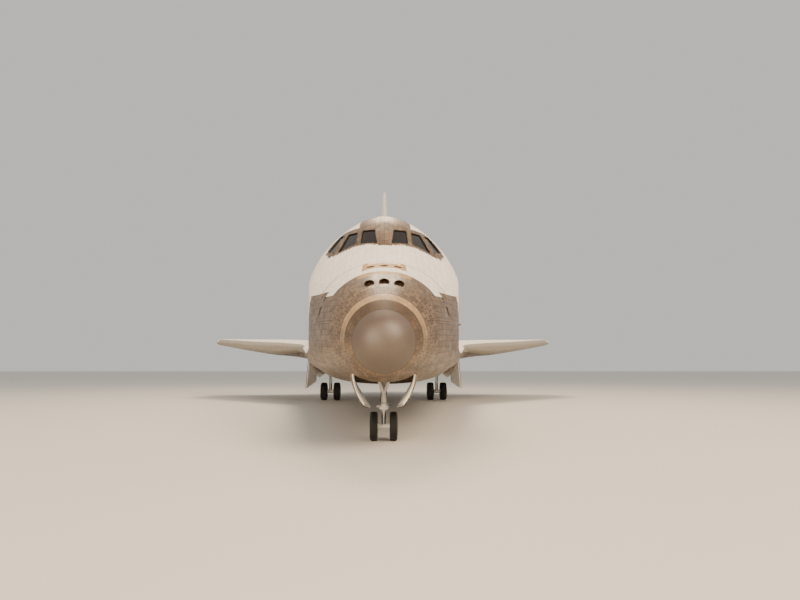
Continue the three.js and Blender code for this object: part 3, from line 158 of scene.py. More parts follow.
def shape(piece, tool, operation):
    # one exact operation on two closed pieces, which uses up the tool
    modifier = piece.modifiers.new("shape", "BOOLEAN")
    modifier.object, modifier.operation, modifier.solver = tool, operation, "MANIFOLD"
    graph = bpy.context.evaluated_depsgraph_get()
    mesh = bpy.data.meshes.new_from_object(piece.evaluated_get(graph))
    piece.modifiers.clear()
    old, piece.data = piece.data, mesh
    name = old.name
    bpy.data.meshes.remove(old)
    piece.data.name = name
    bpy.data.objects.remove(tool)
    return piece


def cut(piece, *tools):
    for tool in tools:
        shape(piece, tool, "DIFFERENCE")
    return piece


def keep(piece, *tools):
    for tool in tools:
        shape(piece, tool, "INTERSECT")
    return piece


def join(piece, *tools):
    for tool in tools:
        shape(piece, tool, "UNION")
    return piece


def paint(piece, material, test):
    # a second material on the faces whose middles, in the body's metres, pass the test
    mesh = piece.data
    count = len(mesh.polygons)
    middles, facing = np.empty(count * 3), np.empty(count * 3)
    mesh.polygons.foreach_get("center", middles)
    mesh.polygons.foreach_get("normal", facing)
    x, y, z = middles.reshape(-1, 3).T
    y, z = y - shiftAft, z - shiftUp
    nx, ny, nz = facing.reshape(-1, 3).T
    chosen = test((x, y * cosPitch + z * sinPitch, z * cosPitch - y * sinPitch),
                  (nx, ny * cosPitch + nz * sinPitch, nz * cosPitch - ny * sinPitch))
    slots = np.zeros(count, np.int32)
    mesh.polygons.foreach_get("material_index", slots)
    slots[chosen] = len(mesh.materials)
    mesh.materials.append(material)
    mesh.polygons.foreach_set("material_index", slots)


def largestPart(piece):
    # points that edges join share the lowest number among them, and the commonest number is kept
    mesh = piece.data
    ends = np.empty(len(mesh.edges) * 2, np.int32)
    mesh.edges.foreach_get("vertices", ends)
    a, b = ends.reshape(-1, 2).T
    labels = np.arange(len(mesh.vertices))
    while np.any(labels[a] != labels[b]):
        lowest = np.minimum(labels[a], labels[b])
        np.minimum.at(labels, a, lowest)
        np.minimum.at(labels, b, lowest)
    kept = np.bincount(labels).argmax()
    work = bmesh.new()
    work.from_mesh(mesh)
    loose = [v for v, other in zip(work.verts, labels != kept) if other]
    bmesh.ops.delete(work, geom=loose, context="VERTS")
    work.to_mesh(mesh)
    work.free()


def swing(piece, start, end, degrees):
    # turned about the line between two places of the body
    start, end = (Vector(toGround(p).tolist()) for p in (start, end))
    turned = Matrix.Rotation(math.radians(degrees), 4, end - start)
    piece.data.transform(Matrix.Translation(start) @ turned @ Matrix.Translation(-start))


def copyOf(piece, name, flip=False):
    # a copy, mirrored at the centre plane where asked, with its faces turned back outwards
    mesh = piece.data.copy()
    mesh.name = name
    if flip:
        places = np.empty(len(mesh.vertices) * 3)
        mesh.vertices.foreach_get("co", places)
        places[::3] *= -1
        mesh.vertices.foreach_set("co", places)
        mesh.flip_normals()
    made = bpy.data.objects.new(name, mesh)
    bpy.context.scene.collection.objects.link(made)
    made["smoothAngle"] = piece["smoothAngle"]
    return made


def settle(piece, body, replaced=None):
    # smooth faces with sharp edges over the piece's angle, then the body that it moves with
    mesh = piece.data
    mesh.polygons.foreach_set("use_smooth", np.ones(len(mesh.polygons), bool))
    mesh.set_sharp_from_angle(angle=math.radians(piece["smoothAngle"]))
    mesh.update()
    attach(piece, body)
    if replaced:
        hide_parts(replaced)


def settlePair(piece, body, replaced=None):
    # a port piece and its mirror image
    name = piece.name
    other = copyOf(piece, name + "Starboard", flip=True)
    piece.name = piece.data.name = name + "Port"
    for made, side in ((piece, "port"), (other, "starboard")):
        settle(made, body.replace("port", side), replaced and replaced.replace("port", side))


def linear(hexColour):
    # an sRGB hex colour as linear values
    values = [int(hexColour[i:i + 2], 16) / 255 for i in (1, 3, 5)]
    return [v / 12.92 if v <= 0.04045 else ((v + 0.055) / 1.055) ** 2.4 for v in values] + [1]


def addNode(tree, kind, inputs=None, **settings):
    # a shader node with its settings, its values and its links
    node = tree.nodes.new("ShaderNode" + kind)
    for key, value in settings.items():
        setattr(node, key, value)
    for key, value in (inputs or {}).items():
        if isinstance(value, bpy.types.NodeSocket):
            tree.links.new(value, node.inputs[key])
        else:
            node.inputs[key].default_value = value
    return node


def calc(tree, operation, *values):
    return addNode(tree, "Math", dict(enumerate(values)), operation=operation).outputs[0]


def split(tree, vector):
    return addNode(tree, "SeparateXYZ", {0: vector}).outputs


def merge(tree, x, y):
    return addNode(tree, "CombineXYZ", {0: x, 1: y}).outputs[0]


def blend(tree, share, first, second, kind="RGBA", **settings):
    # the first and second input and the output of a mix node lie at other places for each kind of value
    a, b, out = {"FLOAT": (2, 3, 0), "VECTOR": (4, 5, 1), "RGBA": (6, 7, 2)}[kind]
    return addNode(tree, "Mix", {0: share, a: first, b: second}, data_type=kind, **settings).outputs[out]


def remap(tree, value, *limits):
    # from the first two limits to the last two, or to 0 and 1
    return addNode(tree, "MapRange", {"Value": value, **dict(enumerate(limits, 1))}).outputs[0]


def within(tree, value, low, high):
    # 1 where a value lies between two limits
    return calc(tree, "COMPARE", value, (low + high) / 2, (high - low) / 2)


def shaded(tree, colour, tone):
    # a colour made lighter or darker by a factor
    grey = addNode(tree, "CombineColor", {0: tone, 1: tone, 2: tone}).outputs[0]
    return blend(tree, 1.0, colour, grey, blend_type="MULTIPLY")


def noise(tree, place, scale, detail, roughness=0.5):
    inputs = {"Vector": place, "Scale": scale, "Detail": detail, "Roughness": roughness}
    return addNode(tree, "TexNoise", inputs).outputs[0]


def bricks(tree, rows, tones, joint, size, smooth=0.5, bias=0.0, offset=0.0):
    # rows of tiles or sewn panels: their two tones and the joint's, half the joint's width, length and height
    inputs = {"Vector": rows, "Scale": 1, "Mortar Size": joint, "Mortar Smooth": smooth, "Bias": bias,
              "Brick Width": size[0], "Row Height": size[1]}
    inputs.update(zip(("Color1", "Color2", "Mortar"), map(linear, tones)))
    made = addNode(tree, "TexBrick", inputs, offset=offset).outputs
    return made["Color"], made["Fac"]


def relief(tree, shader, height, strength):
    bump = addNode(tree, "Bump", {"Height": height, "Strength": strength, "Distance": 0.004}, invert=True)
    tree.links.new(bump.outputs[0], shader.inputs["Normal"])


def newFinish(name, colour, roughness, metallic=0.0, **sockets):
    material = bpy.data.materials.new(name)
    material.use_nodes = True
    shader = material.node_tree.nodes["Principled BSDF"]
    sockets.update({"Base Color": linear(colour), "Roughness": roughness, "Metallic": metallic})
    for key, value in sockets.items():
        shader.inputs[key].default_value = value
    return material, material.node_tree, shader


def bodyPlace(tree, source):
    # object coordinates turned back into the body's own metres
    return addNode(tree, "Mapping", {"Vector": source.outputs["Object"], "Location": (0, shiftAft, shiftUp),
                                     "Rotation": (pitch, 0, 0)}, vector_type="TEXTURE").outputs[0]


def curveOf(tree, value, points):
    # straight runs between points of a curve node
    node = addNode(tree, "FloatCurve", {"Value": value})
    curve = node.mapping.curves[0]
    for place, level in points[1:-1]:
        curve.points.new(place, level)
    for point, (place, level) in zip(sorted(curve.points, key=lambda p: p.location[0]), points):
        point.location = (place, level)
        point.handle_type = "VECTOR"
    node.mapping.update()
    return node.outputs[0]


# Where the dark tiles end, in metres: height of the edge on the sides by distance aft, and the patch round
# the windows between two distances aft by distance from the centre plane. Trim and rings are given by their
# limits, and a ring by its strength.
tileZones = {
    "tile": 0.152, "small": 0.05, "reach": 40, "tall": 8, "low": -4, "wide": 3,
    "sideEdge": [(0, 4), (2.4, 4), (2.42, -0.8), (4.0, -0.7), (4.9, -0.72), (5.6, -1.0), (6.8, -1.6),
                 (8.8, -2.15), (11, -2.45), (27, -2.62), (29, -2.7), (33, -2.55), (40, -2.5)],
    "windowFront": [(0, 5.08), (0.25, 5.1), (0.9, 5.38), (0.98, 5.42), (1.6, 5.7), (1.9, 6.0), (2.0, 6.4),
                    (3, 9)],
    "windowBack": [(0, 7.2), (0.86, 7.2), (0.87, 6.35), (1.25, 6.75), (1.5, 7.1), (1.95, 6.75), (2.05, 6.4),
                   (3, 4)],
    "windowLow": 0.2, "trimLow": -0.75,
    "trim": {"block": [0, 0.73, 2.3, 2.52], "brackets": [0.47, 0.63, 2.92, 3.88],
             "nozzleStrip": [0, 0.5, 2.98, 3.62], "moduleLine": [0, 2.6, 3.8, 3.88]},
    # the paler ring's tone is a painted highlight over the tiles, which fades out towards the bottom
    "rings": {"#46341f": [0, 0.8, 0.85], "#c9a878": [0.8, 1.04, 0.5]}, "ringFade": [-2.3, -1.35],
}


def darkZone(tree, place):
    # tiles are dark or white whole, so the side's edge is read at each tile's own place
    zones = tileZones
    parts, fine = (split(tree, addNode(tree, "VectorMath", {0: place, 1: [zones[size]] * 3},
                                       operation="SNAP").outputs[0]) for size in ("tile", "small"))
    edge = curveOf(tree, calc(tree, "DIVIDE", parts[1], zones["reach"]),
                   [(a / zones["reach"], (z - zones["low"]) / zones["tall"]) for a, z in zones["sideEdge"]])
    height = remap(tree, parts[2], zones["low"], zones["low"] + zones["tall"])
    dark = calc(tree, "LESS_THAN", height, edge)
    across = calc(tree, "DIVIDE", calc(tree, "ABSOLUTE", fine[0]), zones["wide"])
    front, back = (curveOf(tree, across, [(x / zones["wide"], aft / 10) for x, aft in zones[key]])
                   for key in ("windowFront", "windowBack"))
    tenth = calc(tree, "DIVIDE", fine[1], 10.0)
    window = calc(tree, "MULTIPLY", calc(tree, "GREATER_THAN", tenth, front),
                  calc(tree, "LESS_THAN", tenth, back))
    window = calc(tree, "MULTIPLY", window, calc(tree, "GREATER_THAN", fine[2], zones["windowLow"]))
    dark = calc(tree, "MAXIMUM", dark, window)
    exact = split(tree, place)
    side = calc(tree, "ABSOLUTE", exact[0])
    upper = calc(tree, "GREATER_THAN", exact[2], zones["trimLow"])
    trim = None
    for near, far, front, back in zones["trim"].values():
        patch = calc(tree, "MULTIPLY", within(tree, side, near, far), within(tree, exact[1], front, back))
        patch = calc(tree, "MULTIPLY", patch, upper)
        trim = calc(tree, "MAXIMUM", trim, patch) if trim else patch
    return calc(tree, "MAXIMUM", dark, trim), trim


def tilePlane(tree, source, place):
    # tiles lie in rows on the side, the top, the belly and the flat ends, and in rings round the nose
    facing, (x, y, z) = split(tree, source.outputs["Normal"]), split(tree, place)
    flat, side, upright = merge(tree, y, x), merge(tree, y, z), merge(tree, x, z)
    diagonal = addNode(tree, "Mapping", {0: flat, "Rotation": (0, 0, math.radians(45))}).outputs[0]
    steep = calc(tree, "GREATER_THAN", calc(tree, "ABSOLUTE", facing[0]), 0.7)
    rows = blend(tree, steep, flat, side, "VECTOR")
    rows = blend(tree, calc(tree, "LESS_THAN", facing[2], -0.7), rows, diagonal, "VECTOR")
    ends = calc(tree, "GREATER_THAN", calc(tree, "ABSOLUTE", facing[1]), 0.75)
    rows = blend(tree, ends, rows, upright, "VECTOR")
    angle = calc(tree, "ARCTAN2", x, calc(tree, "ADD", z, -noseShape["tip"]))
    nose = calc(tree, "LESS_THAN", y, noseShape["ringsTo"])
    return blend(tree, nose, rows, merge(tree, angle, y), "VECTOR")


def tiledFinish(name, zone):
    # Silica tiles: the dark ones have a fired glass coat, worn to a warm grey brown with a soft gloss, and the
    # white ones are matt. Joints of 1 to 2 mm are drawn 16 mm wide to show from afar.
    material, tree, shader = newFinish(name, "#e9e6de", 0.6)
    source = addNode(tree, "TexCoord")
    place = bodyPlace(tree, source)
    rows = tilePlane(tree, source, place)
    fired, firedJoints = bricks(tree, rows, ("#5b4936", "#7c6448", "#1c150e"), 0.008, (0.152, 0.152), 0.4, -0.1,
                                0.5)
    white, joints = bricks(tree, rows, ("#efeae0", "#e4dfd4", "#bdb5a6"), 0.004, (0.203, 0.203), 0.4, 0, 0.5)
    parts = split(tree, place)
    if zone == "below":  # the lower side of a wing and the front of its glove are dark
        facing = split(tree, source.outputs["Normal"])
        front = calc(tree, "MULTIPLY", calc(tree, "LESS_THAN", facing[1], -0.55),
                     calc(tree, "LESS_THAN", parts[1], 24.0))
        dark = calc(tree, "MAXIMUM", calc(tree, "LESS_THAN", facing[2], -0.02), front)
    elif zone == "all":
        dark = calc(tree, "MAXIMUM", 1.0, 0.0)
    else:  # behind the cabin the white tiles give way to felt panels
        dark, trim = darkZone(tree, place)
        felt, seams = bricks(tree, rows, ("#ece8de", "#dedacf", "#958d7e"), 0.009, (1.15, 0.76))
        aft = calc(tree, "GREATER_THAN", parts[1], 7.6)
        white, joints = blend(tree, aft, white, felt), blend(tree, aft, joints, seams, "FLOAT")
    colour = blend(tree, dark, white, fired)
    if zone == "zones":  # above the nose cap, a darker ring of seals, and behind it a paler ring that is a painted highlight; both fade out towards the bottom
        fade = remap(tree, parts[2], *tileZones["ringFade"])
        for tone, (front, back, strength) in tileZones["rings"].items():
            ring = calc(tree, "MULTIPLY", within(tree, parts[1], front, back), strength)
            colour = blend(tree, calc(tree, "MULTIPLY", ring, fade), colour, linear(tone))
        # the trim round the thruster module is bare tan felt without the glass coat's gloss
        colour = blend(tree, trim, colour, linear("#a98756"))
        tree.links.new(blend(tree, trim, 0.5, 0.05, "FLOAT"), shader.inputs["Specular IOR Level"])
    stretched = addNode(tree, "Mapping", {0: place, "Scale": (3.2, 0.5, 3.2)}).outputs[0]
    streaks = noise(tree, stretched, 1.6, 5, 0.55)
    wear, stains = remap(tree, streaks, 0.3, 0.72, 0.78, 1.2), remap(tree, streaks, 0.3, 0.72, 1.02, 0.95)
    worn = shaded(tree, colour, blend(tree, dark, stains, wear, "FLOAT"))
    tree.links.new(worn, shader.inputs["Base Color"])
    gloss = remap(tree, streaks, 0.3, 0.7, 0.48, 0.34)
    tree.links.new(blend(tree, dark, 0.72, gloss, "FLOAT"), shader.inputs["Roughness"])
    relief(tree, shader, blend(tree, dark, joints, firedJoints, "FLOAT"), 0.4)
    return material


def blanketFinish(name, colour, panel):
    # Quilted silica felt: matt white, sewn in squares of about 25 mm that are drawn 75 mm wide, in panels
    # with a soft seam, each a little different in tone.
    material, tree, shader = newFinish(name, colour, 0.85)
    source = addNode(tree, "TexCoord")
    place = bodyPlace(tree, source)
    rows = tilePlane(tree, source, place)
    felt, seams = bricks(tree, rows, (colour, "#dcd9cf", "#958d7e"), 0.009, panel, bias=-0.3)
    stitches = bricks(tree, rows, (), 0.012, (0.075, 0.075), 1.0)[1]
    stains = remap(tree, noise(tree, place, 0.9, 6, 0.6), 0.3, 0.7, 0.93, 1.03)
    tree.links.new(shaded(tree, felt, stains), shader.inputs["Base Color"])
    relief(tree, shader, calc(tree, "MAXIMUM", stitches, seams), 0.3)
    return material


def carbonFinish(name, colour, roughness=0.42, ior=1.5):
    # Reinforced carbon with a baked silicon carbide skin: an even satin grey brown with faint mottling.
    material, tree, shader = newFinish(name, colour, roughness, IOR=ior)
    place = bodyPlace(tree, addNode(tree, "TexCoord"))
    tone = remap(tree, noise(tree, place, 5, 8, 0.7), 0.3, 0.7, 0.86, 1.1)
    tree.links.new(shaded(tree, linear(colour), tone), shader.inputs["Base Color"])
    return material


def metalFinish(name, colour, roughness):
    # Bare heat-resisting metal with cloudy heat tints.
    material, tree, shader = newFinish(name, colour, roughness, 1.0)
    clouds = noise(tree, addNode(tree, "TexCoord").outputs["Object"], 3, 4)
    tree.links.new(blend(tree, clouds, linear(colour), linear("#6f5f52")), shader.inputs["Base Color"])
    return material


noseShape = {"tip": -1.98, "end": 0.45, "rings": 40, "ringsTo": 1.9}
forwardTiles = tiledFinish("silicaTilesForward", "zones")
wingTiles = tiledFinish("silicaTilesWing", "below")
darkTiles = tiledFinish("silicaTilesDark", "all")
feltBlanket = blanketFinish("feltBlanket", "#eae7de", (1.35, 1.1))
noseCarbon = carbonFinish("reinforcedCarbonCap", "#4e3d2d", 0.52, 1.9)
carbon = carbonFinish("reinforcedCarbon", "#948b7c")
bellMetal = metalFinish("heatTintedNickel", "#9a9088", 0.35)
gearMetal = newFinish("machinedAluminium", "#b4b6b8", 0.38, 1.0)[0]  # even, slightly dull
radiatorMetal = newFinish("silveredTeflonFilm", "#cfd2d6", 0.18, 0.9)[0]  # near mirror, faintly milky
glossPaint = newFinish("whiteGearEnamel", "#efede7", 0.3)[0]  # smooth gloss white
linerPaint = newFinish("greenPrimer", "#b9bda4", 0.6)[0]  # flat yellow green of primed aluminium
cabinPaint = newFinish("greyCabinPaint", "#9a9c98", 0.6)[0]  # matt grey
blackRubber = newFinish("mouldedRubber", "#1d1c1b", 0.75)[0]  # dull black
darkMetal = newFinish("oxidisedColumbium", "#4b3a2b", 0.5, 0.6)[0]  # dark bronze brown nozzle throats
paneGlass = newFinish("silicaPanePaintedShade", "#1d1712", 0.08, **{"Specular IOR Level": 0.35})[0]  # opaque; its dark brown is painted shade for the unlit cabin behind the glass, with the glass's own reflection
frameMetal = newFinish("blackedWindowFrame", "#3a332c", 0.45)[0]  # dark satin seal round the panes
hosePlastic = newFinish("hydraulicHose", "#2d2c2a", 0.5)[0]  # dull dark grey
steelTube = newFinish("stainlessTube", "#a9abad", 0.25, 1.0)[0]  # bright drawn steel
print("finishes made")


# Fuselage sections: distance aft, half width, top, shoulder, chine, bottom, reach at the chine, and the
# fullness of top, side and belly
forwardSections = np.array([
    [0, 0, -1.98, -1.98, -1.98, -1.98, 0, 0.55, 0.55, 0.55],
    [0.12, 0.43, -1.55, -1.98, -1.98, -2.395, 0.43, 0.55, 0.55, 0.55],
    [0.5, 0.77, -1.205, -1.96, -1.98, -2.735, 0.77, 0.55, 0.55, 0.56],
    [1.0, 1.04, -0.85, -1.9, -1.95, -2.915, 1.04, 0.55, 0.55, 0.58],
    [1.8, 1.38, -0.42, -1.7, -1.9, -3.04, 1.38, 0.55, 0.55, 0.62],
    [2.7, 1.69, -0.04, -1.55, -1.9, -3.13, 1.69, 0.55, 0.55, 0.66],
    [3.6, 1.95, 0.26, -1.4, -1.9, -3.21, 1.95, 0.54, 0.54, 0.72],
    [4.4, 2.16, 0.53, -1.15, -1.95, -3.285, 2.16, 0.5, 0.48, 0.73],
    [4.95, 2.29, 0.9, -0.8, -2.0, -3.325, 2.29, 0.42, 0.38, 0.73],
    [5.3, 2.36, 1.26, -0.55, -2.0, -3.35, 2.36, 0.34, 0.28, 0.72],
    [5.75, 2.44, 1.69, -0.3, -2.02, -3.38, 2.44, 0.3, 0.24, 0.7],
    [6.3, 2.53, 2.12, -0.15, -2.08, -3.41, 2.53, 0.33, 0.28, 0.68],
    [6.9, 2.59, 2.37, -0.05, -2.2, -3.43, 2.6, 0.38, 0.36, 0.68],
    [7.6, 2.615, 2.5, 0, -2.36, -3.45, 2.72, 0.43, 0.43, 0.66],
    [8.8, 2.62, 2.57, -0.05, -2.52, -3.47, 2.94, 0.55, 0.55, 0.62]])
aftSections = np.array([
    [27.2, 2.62, 2.57, -0.05, -2.6, -3.44, 2.62, 0.55, 0.55, 0.9],
    [29.0, 2.62, 2.57, -0.05, -2.65, -3.24, 2.62, 0.55, 0.55, 0.9],
    [29.4, 2.625, 2.57, -0.05, -2.68, -3.2, 3.18, 0.55, 0.55, 0.9],
    [31.0, 2.68, 2.56, -0.05, -2.6, -3.02, 3.2, 0.55, 0.55, 0.9],
    [32.9, 2.75, 2.5, -0.05, -2.48, -2.83, 3.2, 0.55, 0.55, 0.9]])
outlineSteps = [26, 12, 24]


def through(table, root=True, start=0.0):
    # a smooth curve through the rows with no overshoot: cubic runs whose end slopes are harmonic means,
    # over the square root of the distance, which rounds the nose
    places = np.sqrt(table[:, 0] - start) if root else table[:, 0]
    values = table[:, 1:]
    slopes = np.diff(values, axis=0) / np.diff(places)[:, None]
    count = len(places)
    before = slopes[np.clip(np.arange(count) - 1, 0, count - 2)]
    after = slopes[np.clip(np.arange(count), 0, count - 2)]
    total = np.where(before * after > 0, before + after, 1)
    tangents = np.where(before * after > 0, 2 * before * after / total, 0)

    def at(aft):
        x = np.atleast_1d(aft).astype(float)
        x = np.sqrt(x - start) if root else x
        i = np.clip(np.searchsorted(places, x) - 1, 0, count - 2)
        run = (places[i + 1] - places[i])
        t = np.clip((x - places[i]) / run, 0, 1)[:, None]
        run = run[:, None]
        return ((2 * t**3 - 3 * t**2 + 1) * values[i] + (t**3 - 2 * t**2 + t) * run * tangents[i]
                + (3 * t**2 - 2 * t**3) * values[i + 1] + (t**3 - t**2) * run * tangents[i + 1])
    return at


forwardAt, aftAt = through(forwardSections), through(aftSections)


def sectionCurves(at, aft, inset=0.0):
    # control points of the half outline's three cubic curves: top, side and belly
    width, top, shoulder, chine, bottom, reach, topFull, sideFull, bellyFull = at(aft).T
    width, top, bottom = width - inset, top - inset, bottom + inset
    reach = width if inset > 0 else reach - inset
    zero = np.zeros_like(width)
    curves = [
        [(zero, top), (width * topFull, top), (width, mix(shoulder, top, sideFull)), (width, shoulder)],
        [(width, shoulder), (width, mix(shoulder, chine, 0.85)), (mix(width, reach, 0.4), chine), (reach, chine)],
        [(reach, chine), (reach, mix(chine, bottom, bellyFull)), (reach * bellyFull, bottom), (zero, bottom)]]
    return [np.array(curve).transpose(2, 0, 1) for curve in curves]


def bezier(control, t):
    # the cubic through its control points, for each station and each share t
    t = np.asarray(t)[None, :, None]
    p = control[:, :, None]
    return (1 - t)**3 * p[:, 0] + 3 * t * (1 - t)**2 * p[:, 1] + 3 * t**2 * (1 - t) * p[:, 2] + t**3 * p[:, 3]


def hullRings(at, aft, inset=0.0):
    aft = np.atleast_1d(np.asarray(aft, float))
    halves = [bezier(c, np.linspace(0, 1, n + 1))[:, (1 if k else 0):]
              for k, (c, n) in enumerate(zip(sectionCurves(at, aft, inset), outlineSteps))]
    half = np.concatenate(halves, 1)
    full = np.concatenate([half, half[:, -2:0:-1] * [-1, 1]], 1)
    return np.stack([full[..., 0], np.broadcast_to(aft[:, None], full.shape[:2]), full[..., 1]], -1)


def forwardSkin(places, inset=0.0, material=forwardTiles, name="tool"):
    return loftPiece(name, hullRings(forwardAt, places, inset), material)


def skinPoint(x, aft, part, sign):
    # the point of the roof, part 0, or the belly, part 2, at a distance x from the centre plane
    curve = bezier(sectionCurves(forwardAt, [aft])[part], np.linspace(0, 1, 801))[0]
    return np.array([x, aft, np.interp(sign * abs(x), sign * curve[:, 0], curve[:, 1])])


def roundedOutline(corners, radius, steps=8):
    # each corner of an outline is replaced by a curve that starts and ends a radius from it
    corners = np.asarray(corners, float)
    before, after = np.roll(corners, 1, 0), np.roll(corners, -1, 0)
    starts, ends = (corners + (other - corners) / np.linalg.norm(other - corners, axis=1)[:, None] * radius
                    for other in (before, after))
    t = np.linspace(0, 1, steps)[:, None]
    return np.concatenate([(1 - t)**2 * s + 2 * t * (1 - t) * c + t**2 * e
                           for s, c, e in zip(starts, corners, ends)])


def grown(outline, by):
    # an outline pushed away from its middle
    away = outline - outline.mean(0)
    return outline + away / np.linalg.norm(away, axis=1)[:, None] * by


# The nose cap's rings crowd towards its tip.
noseSteps = np.linspace(0, 1, noseShape["rings"] + 1)[1:]
noseCap = loftPiece("noseCap", hullRings(forwardAt, noseShape["end"] * noseSteps**2), noseCarbon, 40,
                    [0, 0, noseShape["tip"]])
settle(noseCap, "airframe", "nose_cap")

# The forward fuselage's skin, from which the thruster module is cut out with a seam round it
forwardShape = {"wall": 0.16, "cabinFront": 4.95, "cabinBack": 8.56}
moduleShape = {"half": 2.1, "front": 1.35, "back": 3.6, "floor": -1.45, "top": 0.7, "seam": 0.006, "proud": 0.006}
cabinPlaces = np.concatenate([np.linspace(0.45, 2.0, 26), np.linspace(2.06, 4.6, 42)[:-1],
                              np.linspace(4.6, 7.2, 66)[:-1], np.linspace(7.2, 8.8, 22)])
cabin = loftPiece("forwardFuselage", hullRings(forwardAt, cabinPlaces) + [0, hair, 0], forwardTiles)


def moduleBlock(grow):
    m = moduleShape
    return block([-m["half"], m["front"] - grow, m["floor"] - grow], [m["half"], m["back"] + grow, m["top"]],
                 forwardTiles)


thrusterModule = keep(copyOf(cabin, "thrusterModule"), moduleBlock(0))
cut(cabin, moduleBlock(moduleShape["seam"]))

# nozzles of the nose thrusters: mouth x, aft, height, direction x, aft, up, mouth radius
moduleSkin = forwardSkin(np.linspace(1.2, 3.8, 50), moduleShape["proud"], name="moduleSkin")
noseThrusters = [(0, 1.82, -0.43, 0, -1, 0.12, 0.125), (0.4, 1.82, -0.475, 0, -1, 0.12, 0.125),
                 (-0.4, 1.82, -0.475, 0, -1, 0.12, 0.125), (0, 3.25, 0.16, 0, -0.1, 1, 0.125),
                 (0.39, 3.25, 0.13, 0, -0.1, 1, 0.125), (-0.39, 3.25, 0.13, 0, -0.1, 1, 0.125),
                 (1.82, 3.15, -0.82, 1, 0, 0, 0.12), (1.88, 3.2, -1.18, 0.8, 0, -0.6, 0.12),
                 (-1.82, 3.15, -0.82, -1, 0, 0, 0.12), (-1.88, 3.2, -1.18, -0.8, 0, -0.6, 0.12)]
for number, row in enumerate(noseThrusters):
    mouth, facing, radius = np.array(row[:3]), unit(row[3:6]), row[6]
    cut(thrusterModule, lathePiece("tool", [[-0.26, radius * 0.45], [0.24, radius * 1.5]], mouth, facing,
                                   darkMetal, 40))
    lined = [[-0.255, 0.0], [-0.255, radius * 0.45], [-0.03, radius * 0.93], [-0.03, radius * 0.88],
             [-0.22, radius * 0.36], [-0.235, 0.0]]
    nozzle = lathePiece(f"noseThruster{number + 1}", lined, mouth, facing, darkMetal, 40)
    keep(nozzle, copyOf(moduleSkin, "tool"))
    settle(nozzle, "airframe")
bpy.data.objects.remove(moduleSkin)
settle(thrusterModule, "airframe", "thruster_module")

# Windows: corners by distance from the centre plane and distance aft, on the skin. The aft one stands upright
# in the cabin's rear wall. A pane lies between two depths in a hole with round corners, with a frame round it.
windowShape = {
    "front": [[0.23, 5.19], [0.77, 5.44], [0.73, 6.05], [0.31, 5.81]],
    "middle": [[0.95, 5.56], [1.53, 5.8], [1.22, 6.43], [0.9, 6.12]],
    "side": [[1.68, 6.0], [1.93, 6.52], [1.55, 6.96], [1.37, 6.6]],
    "overhead": [[0.25, 7.15], [0.76, 7.15], [0.76, 7.7], [0.25, 7.7]],
    "aft": [[0.18, 8.76, 1.3], [0.56, 8.76, 1.3], [0.56, 8.76, 1.64], [0.18, 8.76, 1.64]],
    "radius": 0.085, "cut": 0.42, "fit": 0.004, "near": -0.062, "far": -0.03, "frame": 0.035, "proud": 0.006}
cut(cabin, forwardSkin(np.linspace(forwardShape["cabinFront"], forwardShape["cabinBack"], 30),
                       forwardShape["wall"], cabinPaint))
for key in ("front", "middle", "side", "overhead", "aft"):
    corners = np.array([skinPoint(*p, 0, 1) if len(p) == 2 else p for p in windowShape[key]])
    normal = unit(np.cross(corners[2] - corners[0], corners[3] - corners[1]))
    hole = roundedOutline(corners, windowShape["radius"])
    for flip in ([1, 1, 1], [-1, 1, 1]):
        deep = normal * flip * windowShape["cut"]
        cut(cabin, plank(hole * flip - deep, deep * 2, frameMetal))
    near, far = windowShape["near"], windowShape["far"]
    # the pane's dark colour is painted shade for the cabin behind it
    pane = plank(grown(hole, -windowShape["fit"]) + normal * near, normal * (far - near), paneGlass,
                 "window" + key.capitalize())
    settlePair(pane, "airframe", f"window_{key}_port")
    if key != "aft":
        wide, proud = windowShape["frame"], windowShape["proud"]
        levels = [(0.0, far - 0.01), (0.0, proud), (wide, proud), (wide, far - 0.01)]
        hoop = [grown(hole, by) + normal * up for by, up in levels]
        settlePair(ringPiece("frame" + key.capitalize(), hoop, frameMetal), "airframe")

wellShape = {"front": 1.45, "back": 4.35, "roof": -2.15, "frontHalf": 0.83, "backHalf": 0.93, "low": -4}
wellSides = [(-1, "front"), (1, "front"), (1, "back"), (-1, "back")]
well = [[side * wellShape[end + "Half"], wellShape[end], wellShape["low"]] for side, end in wellSides]
cut(cabin, plank(well, [0, 0, wellShape["roof"] - wellShape["low"]], glossPaint))

# The side hatch: a tapered plug in the skin, hung from knuckles at its lower edge, with a small round window
hatchShape = {"aft": 6.5, "height": -0.95, "radius": 0.508, "gap": 0.006, "hingeX": 2.612, "drop": 0.012,
              "knuckle": 0.016, "half": 0.06}
hatchAft, hatchHalf = hatchShape["aft"], hatchShape["half"]
hatchHinge = np.array([hatchShape["hingeX"], hatchAft,
                       hatchShape["height"] - hatchShape["radius"] - hatchShape["drop"]])


def hatchPlug(radius):
    near, far = ([x, hatchAft, hatchShape["height"]] for x in (1.8, 2.9))
    return rod(near, far, radius - 0.07, forwardTiles, radius + 0.026, 72)


def hatchBlock(aft, half, inner, outer, low, high):
    z = hatchHinge[2]
    return block([inner, aft - half, z + low], [outer, aft + half, z + high], forwardTiles)


def hatchKnuckle(aft, half):
    place = np.array([hatchHinge[0], aft, hatchHinge[2]])
    return rodAcross(place, np.array([0, half, 0]), hatchShape["knuckle"], gearMetal)


cut(cabin, hatchPlug(hatchShape["radius"] + hatchShape["gap"]))
join(cabin, rod([0, 8.75, -0.9], [0, 8.87, -0.9], 0.52, gearMetal, 0.48, 64))  # the airlock's door to the bay
cut(cabin, hatchBlock(hatchAft, hatchHalf + 0.006, 2.47, 2.8, -0.03, 0.06))
for side in (-1, 1):
    place = hatchAft + side * (hatchHalf + 0.0504)
    join(cabin, hatchKnuckle(place, 0.05), hatchBlock(place, 0.05, 2.5, hatchHinge[0], -0.014, 0))
settle(cabin, "airframe", "forward_fuselage")

